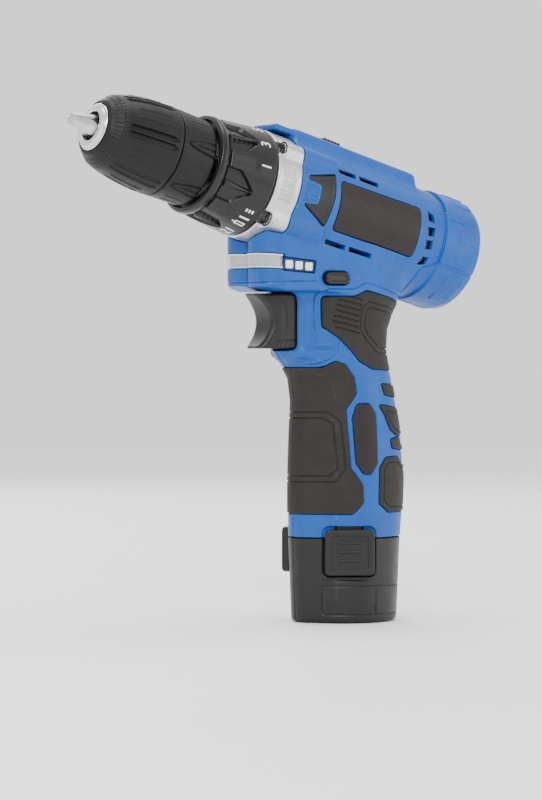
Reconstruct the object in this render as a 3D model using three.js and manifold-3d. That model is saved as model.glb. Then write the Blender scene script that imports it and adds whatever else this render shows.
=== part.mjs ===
// Cordless drill driver with a slide-in battery.
// Millimetres, +Z up. The drill stands on its battery: z = 0 is the base, the origin lies on the
// handle's axis, the nose points to -X, the drill's left side is -Y.
import * as THREE from "three";
import { mergeVertices } from "three/addons/utils/BufferGeometryUtils.js";
import Module from "manifold-3d";

const wasm = await Module();
wasm.setup();

// ---------- driving dimensions ----------
const GAP = 0.3; // between neighbouring pieces
const SEAM_GAP = 0.15; // each clamshell half keeps this from the middle plane

const BARREL_TILT = THREE.MathUtils.degToRad(15); // nose up from horizontal
const BARREL_HEIGHT = 163; // where the barrel's axis crosses the handle's axis
const BARREL_R = 22.6;
const BARREL_FRONT = 38.4; // stations along the barrel, forward from the handle's axis
const BARREL_REAR = -57;
const REAR_CAP_R = 23.6;
const REAR_CAP_FRONT = -37;
const BARREL_BORE_R = 20.3;

const CASE_FRONT = 50.2; // gear case flange
const CASE_FLANGE_R = 22.4;
const CASE_CUP_R = 19.7;
const CASE_NOSE_R = 12.8;
const LUG_ANGLES = [40, 140, 222, 318].map(THREE.MathUtils.degToRad); // from +Y towards the top
const LUG_REACH = 24.2;
const LUG_R = 4.6;
const SCREW_R = 1.7;

const COLLAR_REAR = 50.6;
const COLLAR_FRONT = 76.6;
const CHUCK_REAR = 77.3;
const SLEEVE_SPLIT = 93.3;
const SLEEVE_FRONT = 123.6;
const SLEEVE_BORE_R = 16.1;
const CHUCK_BODY_R = 11;
const BIT_BORE_R = 5.2;
const NOSE_RING_FRONT = 125.5;
const JAW_TIP = 134.5;
const JAW_ANGLE = THREE.MathUtils.degToRad(15);
const JAW_R = 3;
const JAW_LENGTH = 31;

const GEAR_MODULE = 0.9;
const SUN_TEETH = 9;
const PLANET_TEETH = 12;
const RING_TEETH = SUN_TEETH + 2 * PLANET_TEETH;
const PLANET_ORBIT = (GEAR_MODULE * (SUN_TEETH + PLANET_TEETH)) / 2;
const STAGE_ONE = [10, 17]; // stations of the first stage's gears
const STAGE_TWO = [21.5, 28.5];
const PIN_R = 1.4;

const MOTOR_R = 18;
const MOTOR_REAR = -50;
const MOTOR_FRONT = 5;
const FLUX_RING_R = 19.6;
const ARMATURE_R = 14.2;
const SHAFT_R = 1.6;

const BATTERY_TOP = 85;
const CUP_TOP = 33.7;
const CELL_R = 9.2;
const CELL_LENGTH = 65;
const CELL_BOTTOM = 10;
const TOWER_R = 10.1; // outside radius of the tower round each cell
const TOWER_WALL = 0.6;
const APEX_CELL_X = -11.3; // front cell; the other two sit behind it
const REAR_CELL_X = 4.6;
const REAR_CELL_Y = 9.2;

const LATCH_FACING = THREE.MathUtils.degToRad(120); // direction each latch faces, from +X
const LATCH_WIDTH = 20;
const LATCH_FACE = 23.3; // distance of the latch's face from the cup's centre
const LATCH_DEPTH = 3.6;
const LATCH_TRAVEL = 2;

const TRIGGER_HALF = 8;
const TRIGGER_BOTTOM = 110;
const TRIGGER_TOP = 132.2;

// ---------- materials ----------
const finish = (color, roughness, metalness = 0) =>
  new THREE.MeshStandardMaterial({ color, roughness, metalness });
const BLUE = finish(0x1f6fc4, 0.45);
const BLACK = finish(0x2b2826, 0.5);
const RUBBER = finish(0x35322f, 0.8);
const STEEL = finish(0x9a9a9c, 0.35, 1);
const CAST = finish(0xc4c3c0, 0.45, 1);
const COPPER = finish(0x9a5a32, 0.45, 1);
const CLEAR = finish(0xe8eef2, 0.15);
const WRAP = finish(0x3a8f5c, 0.5);

// ---------- solids ----------
// A closed geometry as a manifold, faces turned outwards.
function solid(geometry) {
  const bare = geometry.index ? geometry.toNonIndexed() : geometry.clone();
  bare.deleteAttribute("normal");
  bare.deleteAttribute("uv");
  const merged = mergeVertices(bare, 1e-4);
  const corners = merged.index.array;
  const kept = [];
  for (let i = 0; i < corners.length; i += 3) {
    const [a, b, c] = [corners[i], corners[i + 1], corners[i + 2]];
    if (a !== b && b !== c && c !== a) kept.push(a, b, c);
  }
  const make = (order) =>
    new wasm.Manifold(
      new wasm.Mesh({
        numProp: 3,
        vertProperties: merged.attributes.position.array,
        triVerts: new Uint32Array(order),
      }),
    );
  const made = make(kept);
  return made.volume() > 0 ? made : make(kept.reverse());
}

const join = (first, ...others) => others.reduce((sum, next) => sum.add(next), first);
const cut = (first, ...others) => others.reduce((rest, next) => rest.subtract(next), first);

const drill = new THREE.Group();

function piece(name, shape, material) {
  const { vertProperties, triVerts } = shape.getMesh();
  const geometry = new THREE.BufferGeometry();
  geometry.setAttribute("position", new THREE.BufferAttribute(vertProperties, 3));
  geometry.setIndex(new THREE.BufferAttribute(triVerts, 1));
  const mesh = new THREE.Mesh(geometry, material);
  mesh.name = name;
  drill.add(mesh);
}

// ---------- frames ----------
const v3 = (x, y, z) => new THREE.Vector3(x, y, z);
const basis = (x, y, z, origin = v3(0, 0, 0)) =>
  new THREE.Matrix4().makeBasis(x, y, z).setPosition(origin);

// Barrel frame: x to the drill's right, y forward to the nose, z up across the barrel.
const NOSE = v3(-Math.cos(BARREL_TILT), 0, Math.sin(BARREL_TILT));
const ACROSS_UP = v3(Math.sin(BARREL_TILT), 0, Math.cos(BARREL_TILT));
const BARREL = basis(v3(0, 1, 0), NOSE, ACROSS_UP, v3(0, 0, BARREL_HEIGHT));
// A flat outline drawn forward and up in the barrel frame, thickened to the right.
const BARREL_SIDE = BARREL.clone().multiply(basis(v3(0, 1, 0), v3(0, 0, 1), v3(1, 0, 0)));
// A flat outline drawn up and to the right, thickened forward.
const BARREL_SECTION = BARREL.clone().multiply(basis(v3(0, 0, 1), v3(1, 0, 0), v3(0, 1, 0)));
// A flat outline drawn in X and Z, thickened to the left.
const SIDE = basis(v3(1, 0, 0), v3(0, 0, 1), v3(0, -1, 0));

// ---------- outlines ----------
// A closed outline through the points, each corner rounded.
function outline(points, radius = 0) {
  const shape = new THREE.Shape();
  const corners = points.map(([x, y]) => new THREE.Vector2(x, y));
  corners.forEach((corner, i) => {
    const before = corners[(i + corners.length - 1) % corners.length];
    const after = corners[(i + 1) % corners.length];
    const reach = (other) => Math.min(radius, corner.distanceTo(other) * 0.45);
    const start = corner.clone().lerp(before, reach(before) / corner.distanceTo(before));
    const end = corner.clone().lerp(after, reach(after) / corner.distanceTo(after));
    if (i === 0) shape.moveTo(start.x, start.y);
    else shape.lineTo(start.x, start.y);
    if (radius > 0) shape.quadraticCurveTo(corner.x, corner.y, end.x, end.y);
  });
  shape.closePath();
  return shape;
}

// The points moved outwards, every side by the same amount.
function grown(points, amount) {
  const count = points.length;
  const doubleArea = points.reduce((sum, [x, y], i) => {
    const [nx, ny] = points[(i + 1) % count];
    return sum + x * ny - nx * y;
  }, 0);
  const outward = Math.sign(doubleArea) * amount;
  const normal = ([x0, y0], [x1, y1]) => new THREE.Vector2(y1 - y0, x0 - x1).normalize();
  return points.map((corner, i) => {
    const before = normal(points[(i + count - 1) % count], corner);
    const after = normal(corner, points[(i + 1) % count]);
    const middle = before.clone().add(after);
    const reach = (2 * outward) / middle.lengthSq();
    return [corner[0] + middle.x * reach, corner[1] + middle.y * reach];
  });
}

const rectangle = (x0, y0, x1, y1, radius = 0) =>
  outline([[x0, y0], [x1, y0], [x1, y1], [x0, y1]], radius);

// Straight sides wrapped round circles: [x, y, radius], anticlockwise.
function wrapped(circles) {
  const shape = new THREE.Shape();
  const normals = circles.map(([x, y, r], i) => {
    const [nx, ny, nr] = circles[(i + 1) % circles.length];
    const heading = Math.atan2(ny - y, nx - x);
    return heading - Math.acos((r - nr) / Math.hypot(nx - x, ny - y));
  });
  circles.forEach(([x, y, r], i) => {
    const from = normals[(i + circles.length - 1) % circles.length];
    let to = normals[i];
    while (to < from) to += 2 * Math.PI;
    shape.absarc(x, y, r, from, to, false);
  });
  shape.closePath();
  return shape;
}

function prism(shape, depth, frame, start = 0, curveSegments = 2) {
  const geometry = new THREE.ExtrudeGeometry(shape, { depth, bevelEnabled: false, curveSegments });
  return solid(geometry.translate(0, 0, start).applyMatrix4(frame));
}

const barrelSide = (shape, w0, w1) => prism(shape, w1 - w0, BARREL_SIDE, w0);
const barrelSection = (shape, u0, u1) => prism(shape, u1 - u0, BARREL_SECTION, u0);
const sidePrism = (shape, y0, y1) => prism(shape, y1 - y0, SIDE, -y1);
const upright = (shape, z0, z1, curveSegments) =>
  prism(shape, z1 - z0, new THREE.Matrix4(), z0, curveSegments);
const box = (x0, x1, y0, y1, z0, z1) => upright(rectangle(x0, y0, x1, y1), z0, z1);

// A profile of [radius, station] turned about the barrel's axis.
function turned(profile, segments = 24, frame = BARREL) {
  const points = profile.map(([r, u]) => new THREE.Vector2(r, u));
  return solid(new THREE.LatheGeometry(points, segments).applyMatrix4(frame));
}
const rod = (r, u0, u1, segments = 20) =>
  turned([[0, u0], [r, u0], [r, u1], [0, u1]], segments);
const tube = (inner, outer, u0, u1, segments = 24) =>
  turned([[inner, u0], [outer, u0], [outer, u1], [inner, u1], [inner, u0]], segments);

// A cylinder between two points of the row's frame.
function strut(start, end, r, segments = 10) {
  const axis = end.clone().sub(start);
  const geometry = new THREE.CylinderGeometry(r, r, axis.length(), segments);
  geometry.translate(0, axis.length() / 2, 0);
  const turn = new THREE.Quaternion().setFromUnitVectors(v3(0, 1, 0), axis.normalize());
  geometry.applyQuaternion(turn).translate(start.x, start.y, start.z);
  return solid(geometry);
}
const inBarrel = (w, u, v) => v3(w, u, v).applyMatrix4(BARREL);

// ---------- handle ----------
// Handle sections: height, front, rear and half width.
const HANDLE = [
  [34, -25.0, 23.2, 22.5],
  [57, -25.1, 25.2, 22.7],
  [75, -24.5, 23.9, 22.1],
  [89, -23.8, 21.0, 21.2],
  [98, -25.5, 19.3, 20.4],
  [104, -30.0, 18.2, 19.7],
  [109, -34.0, 17.5, 19.2],
  [112, -29.5, 17.3, 19.0],
  [118, -29.0, 17.6, 19.0],
  [124, -29.0, 20.5, 19.0],
  [132, -29.0, 25.0, 19.3],
  [142, -29.0, 30.0, 19.5],
];
// The section is an egg, blunt at the back, drawn from -1 to 1.
const EGG_HALF = 0.99;
const EGG = wrapped([[0.08, -0.08, EGG_HALF - 0.08], [0.08, 0.08, EGG_HALF - 0.08], [-0.55, 0, 0.45]]);

function handleSection(height) {
  let i = 1;
  while (i < HANDLE.length - 1 && HANDLE[i][0] < height) i += 1;
  const [low, high] = [HANDLE[i - 1], HANDLE[i]];
  const t = (height - low[0]) / (high[0] - low[0]);
  return low.map((value, k) => value + (high[k] - value) * t);
}

// The handle's outer form, grown outwards by the given amount.
function handleForm(grow, z0 = HANDLE[0][0], z1 = HANDLE[HANDLE.length - 1][0], steps = 11) {
  const geometry = new THREE.ExtrudeGeometry(EGG, {
    depth: 1,
    steps,
    bevelEnabled: false,
    curveSegments: 4,
  });
  const position = geometry.attributes.position;
  for (let i = 0; i < position.count; i += 1) {
    const height = z0 + position.getZ(i) * (z1 - z0);
    const [, front, rear, half] = handleSection(height);
    const x = (front + rear) / 2 + (position.getX(i) * (rear - front + 2 * grow)) / 2;
    position.setXYZ(i, x, (position.getY(i) / EGG_HALF) * (half + grow), height);
  }
  return solid(geometry);
}

// ---------- housing ----------
const CHIN_FRONT = -50;
const CHIN_BOTTOM = 132.8;
const chinPlan = (grow) =>
  wrapped([
    [CHIN_FRONT + 10, -7, 10 + grow],
    [0, -14, 5.5 + grow],
    [14, 0, 8 + grow],
    [0, 14, 5.5 + grow],
    [CHIN_FRONT + 10, 7, 10 + grow],
  ]);

function chin() {
  const profile = outline([
    [-54, 159], [-51, 148], [CHIN_FRONT + 1.2, CHIN_BOTTOM + 1.8], [-40, CHIN_BOTTOM],
    [26, CHIN_BOTTOM], [26, 159],
  ]);
  return upright(chinPlan(0), CHIN_BOTTOM, 159, 5).intersect(sidePrism(profile, -30, 30));
}

// The walls beside the trigger.
const cheeks = () => upright(rectangle(-29.5, -11, 0, 11, 4), 107, 136);

function barrelForm() {
  return turned([
    [0, BARREL_REAR], [20.2, BARREL_REAR], [22.4, BARREL_REAR + 1.6], [REAR_CAP_R, BARREL_REAR + 5],
    [REAR_CAP_R, REAR_CAP_FRONT], [BARREL_R, REAR_CAP_FRONT + 0.6], [BARREL_R, BARREL_FRONT],
    [0, BARREL_FRONT],
  ], 30);
}

function spine() {
  const section = outline([[14, -15], [26.3, -8.5], [26.3, 8.5], [14, 15]], 3);
  const brow = outline([[23, -8.5], [25.6, -7.5], [25.6, 7.5], [23, 8.5]], 0.8);
  return join(barrelSection(section, -25.5, BARREL_FRONT), barrelSection(brow, BARREL_FRONT - 1, 47.2));
}

const lugPoint = (angle, u, reach = LUG_REACH - 4) =>
  inBarrel(Math.cos(angle) * reach, u, Math.sin(angle) * reach);

// The gear case's screws lie nearer the lugs' outer edge.
const SCREW_REACH = LUG_REACH - 3;
const CASE_SCREW_HEAD_R = 2.9;
const caseScrewBore = (angle, rear, r) =>
  strut(lugPoint(angle, rear, SCREW_REACH), lugPoint(angle, 60, SCREW_REACH), r);

// Round swellings behind the gear case's screws.
const lugSwellings = () =>
  LUG_ANGLES.map((angle) => strut(lugPoint(angle, 20), lugPoint(angle, BARREL_FRONT), 5.2));

const speedSlot = () => barrelSide(rectangle(-3, 24.2, 24, 30), -5.6, 5.6);

function housingVents() {
  const slot = (u0, v0, u1, v1) => barrelSide(rectangle(u0, v0, u1, v1), -40, 40);
  const rear = [9, 2.5, -3, -9.7].map((v) => slot(-31, v - 2, -27, v + 2));
  const upper = [[21, 11.5], [9.5, -0.3]].map(([front, back]) => slot(back, 13.2, front, 14.9));
  const lower = [[22, 12.6], [10.6, 1]].map(([front, back]) => slot(back, -17.4, front, -15.4));
  return [...rear, ...upper, ...lower];
}

const towerOutline = (r) =>
  wrapped([[APEX_CELL_X, 0, r], [REAR_CELL_X, -REAR_CELL_Y, r], [REAR_CELL_X, REAR_CELL_Y, r]]);

const latchFrame = (side) => {
  const angle = -side * LATCH_FACING;
  const out = v3(Math.cos(angle), Math.sin(angle), 0);
  return basis(v3(-out.y, out.x, 0), v3(0, 0, 1), out, v3(0.5, 0, 0));
};
// An outline drawn across and up on a latch's face, thickened outwards. side: 1 left, -1 right.
const onLatch = (shape, side, from, to) => prism(shape, to - from, latchFrame(side), from);

function housingHollows() {
  const half = LATCH_WIDTH / 2;
  const latchStop = LATCH_FACE - LATCH_DEPTH - LATCH_TRAVEL;
  return [
    turned([[0, BARREL_REAR + 3], [BARREL_BORE_R, BARREL_REAR + 3], [BARREL_BORE_R, 60], [0, 60]], 28),
    upright(towerOutline(TOWER_R + GAP), 20, BATTERY_TOP + 2, 4),
    box(-20, 13, -13, 13, 89, 146),
    box(-60, -18, -TRIGGER_HALF - 0.5, TRIGGER_HALF + 0.5, TRIGGER_BOTTOM - 0.5, TRIGGER_TOP + 0.4),
    sidePrism(rectangle(-24.6, 134.6, -10.9, 141.4, 3.2), -40, 40),
    ...LUG_ANGLES.map((angle) => caseScrewBore(angle, 26, SCREW_R + GAP)),
    ...[1, -1].flatMap((side) => [
      onLatch(rectangle(-half - 0.6, 10, half + 0.6, 38.6, 2), side, latchStop - 0.2, 40),
      onLatch(rectangle(-5.6, 10, 5.6, 43, 1), side, 17, LATCH_FACE - 2),
    ]),
  ];
}

// ---------- grips and side panels ----------
const FRONT_GRIP = [
  [-40, 102], [-20, 102], [-16, 105], [-12, 103.5], [-8.4, 98.5], [-7.4, 92], [-11.5, 85.5],
  [-10.2, 62], [-5.8, 55.5], [-5.4, 48], [-9.4, 43.6], [-40, 43.6],
];
const THUMB_GRIP = [
  [-20, 131], [-8, 131], [-3, 133.5], [25, 128], [36, 119], [36, 100],
  [0, 102], [-6, 105], [-14, 114], [-20, 119],
];
const PALM_INSERT = [[-7, 88], [-2.5, 88], [0.5, 84], [1, 64], [-2, 59.5], [-5, 59.5], [-8, 64], [-9, 82]];
const REAR_GRIP = [[4.5, 96], [36, 92], [36, 44], [6, 44], [-1.5, 47], [-2, 54], [4, 62], [4, 90]];
const GRIP_DEPTH = 0.4;

// A pad lying in a shallow pocket of the handle, on one side. side: 1 left, -1 right.
function gripPad(points, side) {
  const [near, far] = side > 0 ? [-40, -GAP] : [GAP, 40];
  const patch = sidePrism(outline(points, 1.2), near, far);
  return handleForm(0.5).intersect(patch).subtract(handleForm(-GRIP_DEPTH));
}
function gripPocket(points, side) {
  const [near, far] = side > 0 ? [-40, 1] : [-1, 40];
  return sidePrism(outline(grown(points, GAP), 1.2), near, far).subtract(handleForm(-GRIP_DEPTH - GAP));
}
const GRIPS = {
  front_grip: FRONT_GRIP,
  thumb_grip: THUMB_GRIP,
  palm_insert: PALM_INSERT,
  rear_grip: REAR_GRIP,
};

const SIDE_PLATE = [[20, 9.4], [-22.6, 10.2], [-22.8, -10.8], [19.4, -11.2]];
const TRIM_INSERT = [[35, 7], [23.4, 10.4], [23.4, -10.6], [34.6, -5.4]];
const PLATE_DEPTH = 1.2;

// A thin panel let into the barrel's side.
function sidePanel(points, side) {
  const [w0, w1] = side > 0 ? [-40, 0] : [0, 40];
  const skin = tube(BARREL_R - PLATE_DEPTH, BARREL_R + 0.25, -30, 37.5, 36);
  return barrelSide(outline(points, 2), w0, w1).intersect(skin);
}
function sidePanelPocket(points, side) {
  const [w0, w1] = side > 0 ? [-40, 0] : [0, 40];
  const skin = tube(BARREL_R - PLATE_DEPTH - GAP, BARREL_R + 5, -40, 39, 36);
  return barrelSide(outline(grown(points, GAP), 2), w0, w1).intersect(skin);
}

// ---------- screws ----------
function screw(top, direction, length, headR, headDepth) {
  const along = direction.clone().normalize();
  const at = (distance) => top.clone().addScaledVector(along, distance);
  const drive = strut(at(-0.5), at(headDepth * 0.6), headR * 0.42, 6);
  const head = strut(at(0), at(headDepth), headR);
  const shank = strut(at(headDepth - 0.2), at(length), SCREW_R);
  return cut(join(head, shank), drive);
}
const BACKWARDS = NOSE.clone().negate();
// Housing screws go in from the right: X, Z and the depth of the head.
const HOUSING_SCREWS = [[-38, 138.4, 10.5], [17, 130.5, 8], [10.5, 101.5, 11]];
const SCREW_HEAD_R = 2.9;
const housingScrewHead = ([x, z, depth]) => v3(x, depth, z);
const SWITCH_BOSS = HOUSING_SCREWS[2];
const SCREW_HEAD_DEPTH = 2;
const switchBoss = () => {
  const [x, z] = SWITCH_BOSS;
  return strut(v3(x, -15, z), v3(x, 15, z), 2.9).intersect(handleForm(-1.6));
};
const screwWells = () =>
  HOUSING_SCREWS.flatMap((place) => {
    const head = housingScrewHead(place);
    return [
      strut(head.clone().setY(head.y - SCREW_HEAD_DEPTH - GAP), head.clone().setY(40), SCREW_HEAD_R + GAP),
      strut(head.clone().setY(-7), head.clone().setY(40), SCREW_R + GAP),
    ];
  });

// ---------- build: housing ----------
function makeHousing() {
  const form = join(barrelForm(), spine(), chin(), cheeks(), handleForm(0), ...lugSwellings());
  const pockets = Object.values(GRIPS).flatMap((points) => [gripPocket(points, 1), gripPocket(points, -1)]);
  const panels = [SIDE_PLATE, TRIM_INSERT].flatMap((p) => [sidePanelPocket(p, 1), sidePanelPocket(p, -1)]);
  const caseSpace = [
    rod(CASE_FLANGE_R + GAP, BARREL_FRONT, 90, 28),
    ...LUG_ANGLES.map((angle) => strut(lugPoint(angle, BARREL_FRONT), lugPoint(angle, 70), LUG_R + GAP)),
  ];
  const shell = cut(
    form, ...caseSpace, ...housingHollows(), ...pockets, ...panels, ...housingVents(),
    speedSlot(), lensPocket(), gaugePocket(),
  );
  return cut(join(shell, switchBoss()), ...screwWells());
}

const lensBand = () => outline([[-60, 149.2], [-40.5, 147.6], [-41.5, 141.2], [-60, 142.2]]);
function lensPocket() {
  return sidePrism(lensBand(), -40, 40).subtract(upright(chinPlan(-2.6), 120, 170, 5)).intersect(
    box(-60, -41.5, -30, 30, 130, 160));
}
function lens() {
  const band = sidePrism(outline([[-60, 148.8], [-41, 147.2], [-41.8, 141.6], [-60, 142.6]]), -40, 40);
  const skin = upright(chinPlan(0.3), 120, 170, 5).subtract(upright(chinPlan(-2.3), 120, 170, 5));
  return band.intersect(skin).intersect(box(-60, -42, -30, 30, 130, 160));
}
const gaugeOutline = (grow) =>
  outline(grown([[-41.2, 145.6], [-26.3, 143.2], [-27, 139.2], [-41.9, 141.2]], grow));
const gaugePocket = () => sidePrism(gaugeOutline(GAP), -40, -14);
const gauge = () =>
  sidePrism(gaugeOutline(0), -30, -14.4).intersect(upright(chinPlan(0.2), 120, 160, 5));

// ---------- build: gearbox ----------
function makeGearCase() {
  const body = turned([
    [0, 9], [CASE_CUP_R, 9], [CASE_CUP_R, BARREL_FRONT + GAP], [CASE_FLANGE_R, BARREL_FRONT + GAP],
    [CASE_FLANGE_R, CASE_FRONT], [CASE_NOSE_R, CASE_FRONT], [CASE_NOSE_R, 70], [0, 70],
  ], 28);
  const lug = (angle) => strut(lugPoint(angle, BARREL_FRONT + GAP), lugPoint(angle, CASE_FRONT - 3), LUG_R);
  const hollows = [
    turned([[0, 5], [18.7, 5], [18.7, 34], [16, 34], [16, 46.5], [8, 46.5], [8, 80], [0, 80]], 24),
    ...LUG_ANGLES.map((angle) => caseScrewBore(angle, 30, SCREW_R + GAP)),
    ...LUG_ANGLES.map((angle) => caseScrewBore(angle, CASE_FRONT - 5.5, CASE_SCREW_HEAD_R + GAP)),
  ];
  return cut(join(body, ...LUG_ANGLES.map(lug)), ...hollows);
}

// A spur gear outline; a ring gear's hole uses the same teeth pointing inwards.
function gearOutline(teeth, { gap = 0, inwards = false, turn = 0 } = {}) {
  const pitch = (GEAR_MODULE * teeth) / 2;
  const side = inwards ? -1 : 1;
  const tip = pitch + side * (GEAR_MODULE * 0.85 - gap);
  const root = pitch - side * GEAR_MODULE * 1.2;
  const step = (2 * Math.PI) / teeth;
  const points = [];
  for (let i = 0; i < teeth; i += 1) {
    const middle = turn + i * step;
    for (const [share, r] of [[-0.3, root], [-0.1, tip], [0.1, tip], [0.3, root]]) {
      const a = middle + share * step;
      points.push(new THREE.Vector2(r * Math.cos(a), r * Math.sin(a)));
    }
  }
  return new THREE.Shape(points);
}

// Gears are drawn up and to the right in the barrel's section, thickened forward.
function makeRingGear() {
  const teeth = barrelSection(gearOutline(RING_TEETH, { inwards: true, turn: Math.PI / RING_TEETH }), 8, 31);
  return rod(18.4, 9.6, 29, 24).subtract(teeth);
}
const planetAngles = [0, 1, 2].map((i) => (i * 2 * Math.PI) / 3);
const planetPoint = (angle, u) => inBarrel(Math.sin(angle) * PLANET_ORBIT, u, Math.cos(angle) * PLANET_ORBIT);
const pinRod = (angle, u0, u1, r) => strut(planetPoint(angle, u0), planetPoint(angle, u1), r);

function makePlanet(angle, [u0, u1]) {
  const teeth = new THREE.ExtrudeGeometry(gearOutline(PLANET_TEETH), { depth: u1 - u0, bevelEnabled: false });
  const offset = planetPoint(angle, 0).sub(inBarrel(0, 0, 0));
  teeth.translate(0, 0, u0).applyMatrix4(BARREL_SECTION).translate(offset.x, offset.y, offset.z);
  return solid(teeth).subtract(pinRod(angle, u0 - 1, u1 + 1, PIN_R + GAP));
}
const sunGear = (u0, u1) => barrelSection(gearOutline(SUN_TEETH, { turn: Math.PI / SUN_TEETH }), u0, u1);
const planetPins = (u0, u1) => planetAngles.map((angle) => pinRod(angle, u0, u1, PIN_R));

const makeCarrierOne = () =>
  join(
    rod(12.6, STAGE_ONE[1] + 0.5, 20, 20),
    sunGear(19.5, STAGE_TWO[1]),
    ...planetPins(STAGE_ONE[0] + 0.2, 18.5),
  );
function makeSpindle() {
  const shaft = turned([[0, 29], [13.4, 29], [13.4, 32], [7, 32], [7, 34], [5, 34.5], [5, 92], [0, 92]], 18);
  const screwBore = rod(3, 36, 93, 12);
  return join(cut(shaft, screwBore), ...planetPins(STAGE_TWO[0] + 0.2, 30));
}

// ---------- build: motor ----------
function makeMotorCan() {
  const hollow = rod(MOTOR_R - 1.2, MOTOR_REAR - 1, MOTOR_FRONT - 1.5, 24);
  const can = cut(rod(MOTOR_R, MOTOR_REAR, MOTOR_FRONT, 24), hollow, rod(4.3, MOTOR_FRONT - 3, MOTOR_FRONT + 1));
  const magnets = cut(
    tube(ARMATURE_R + 0.8, MOTOR_R - 1, MOTOR_REAR + 10, MOTOR_FRONT - 5, 24),
    barrelSide(rectangle(MOTOR_REAR, -20, MOTOR_FRONT, 20), -4, 4),
  );
  const fluxRing = tube(MOTOR_R - 0.5, FLUX_RING_R, MOTOR_REAR + 12, MOTOR_FRONT - 7, 24);
  return join(can, fluxRing, magnets);
}
function makeMotorCap() {
  const cap = join(
    rod(MOTOR_R - 1.5, MOTOR_REAR, MOTOR_REAR + 5, 24),
    tube(4, 6, MOTOR_REAR - 2.5, MOTOR_REAR + 1, 14),
  );
  const brushSlots = [8, -13].map((v) => barrelSide(rectangle(MOTOR_REAR + 1, v, -40, v + 5), -4, 4));
  return cut(cap, rod(SHAFT_R + GAP, -60, 0), ...brushSlots);
}
const makeMotorShaft = () => join(rod(SHAFT_R, MOTOR_REAR - 2, 10.5, 16), sunGear(9.8, STAGE_ONE[1]));
function makeArmature() {
  const core = tube(SHAFT_R + GAP, ARMATURE_R, MOTOR_REAR + 12, MOTOR_FRONT - 6, 15);
  const commutator = tube(SHAFT_R + GAP, 5, MOTOR_REAR + 6, MOTOR_REAR + 13, 14);
  const poles = 5;
  const slots = Array.from({ length: poles }, (_, i) => {
    const a = (i * 2 * Math.PI) / poles;
    const slotPoint = (u) => inBarrel(Math.cos(a) * 12.5, u, Math.sin(a) * 12.5);
    return strut(slotPoint(-60), slotPoint(10), 2.6, 6);
  });
  return cut(join(core, commutator), ...slots);
}

// ---------- build: collar and clutch ----------
function makeCollar() {
  const outside = [
    [22.2, COLLAR_REAR], [22.2, 52], [20.8, 64], [20.1, 71.6], [18.7, 72.2], [18.7, 73], [20.2, 73.6],
    [19.6, COLLAR_FRONT],
  ];
  const inside = [
    [18.4, COLLAR_FRONT], [18.4, 73.5], [13.4, 73.5], [13.4, 70.6], [17.4, 70.4], [17.4, COLLAR_REAR],
  ];
  return turned([...outside, ...inside, outside[0]], 28);
}
const makeClutchNut = () => tube(CASE_NOSE_R + GAP, 17, 66, 69, 20);
function makeClutchSpring() {
  const turns = 3.5;
  const wire = 0.9;
  const helix = new (class extends THREE.Curve {
    getPoint(t, target = v3(0, 0, 0)) {
      const a = t * turns * 2 * Math.PI;
      return target.copy(inBarrel(Math.cos(a) * 15, CASE_FRONT + 1.6 + t * 10.5, Math.sin(a) * 15));
    }
  })();
  const section = new THREE.Shape().absarc(0, 0, wire, 0, 2 * Math.PI);
  return solid(new THREE.ExtrudeGeometry(section, { extrudePath: helix, steps: 42, curveSegments: 2 }));
}

// ---------- build: chuck ----------
const jawTipOffset = -0.1;
const jawPoint = (angle, u) => {
  const r = jawTipOffset + (JAW_TIP - u) * Math.tan(JAW_ANGLE);
  return inBarrel(Math.cos(angle) * r, u, Math.sin(angle) * r);
};
const JAW_TURNS = [90, 210, 330].map(THREE.MathUtils.degToRad);

function makeChuckBody() {
  const body = turned([
    [0, CHUCK_REAR + 2], [CHUCK_BODY_R, CHUCK_REAR + 2], [CHUCK_BODY_R, 113.5], [9, 119], [9, 120.4],
    [0, 120.4],
  ]);
  const bores = JAW_TURNS.map((angle) => strut(jawPoint(angle, 140), jawPoint(angle, 82), JAW_R + GAP));
  return cut(body, rod(5.3, 70, 93), rod(BIT_BORE_R, 92, 130), ...bores);
}
// A jaw is a slanted round bar whose three-sided tip meets the other two on the chuck's axis.
function makeJaw(angle) {
  const along = jawPoint(angle, JAW_TIP).sub(jawPoint(angle, JAW_TIP - 10)).normalize();
  const front = jawPoint(angle, JAW_TIP).addScaledVector(along, 1);
  const bar = strut(front.clone().addScaledVector(along, -JAW_LENGTH), front, JAW_R);
  const reach = 20;
  const clearance = 0.12;
  const wedge = new THREE.Shape([
    new THREE.Vector2(clearance * 2, 0),
    new THREE.Vector2(clearance * 2 + reach, reach * Math.tan(Math.PI / 3)),
    new THREE.Vector2(clearance * 2 + reach, -reach * Math.tan(Math.PI / 3)),
  ]);
  const toBarrel = basis(
    v3(Math.cos(angle), 0, Math.sin(angle)),
    v3(-Math.sin(angle), 0, Math.cos(angle)),
    v3(0, -1, 0),
    v3(0, JAW_TIP, 0),
  );
  const sector = prism(wedge, 60, BARREL.clone().multiply(toBarrel));
  const cone = turned([[0, 80], [16, 80], [2.3, JAW_TIP], [0, JAW_TIP]], 24);
  return bar.intersect(sector).intersect(cone);
}
const makeRearSleeve = () =>
  turned([
    [SLEEVE_BORE_R, CHUCK_REAR], [17.5, CHUCK_REAR], [17.75, 79], [17.9, SLEEVE_SPLIT - GAP],
    [SLEEVE_BORE_R, SLEEVE_SPLIT - GAP], [SLEEVE_BORE_R, 84], [CHUCK_BODY_R + GAP, 83.5],
    [CHUCK_BODY_R + GAP, 81.5],
    [SLEEVE_BORE_R, 81], [SLEEVE_BORE_R, CHUCK_REAR],
  ]);
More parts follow.
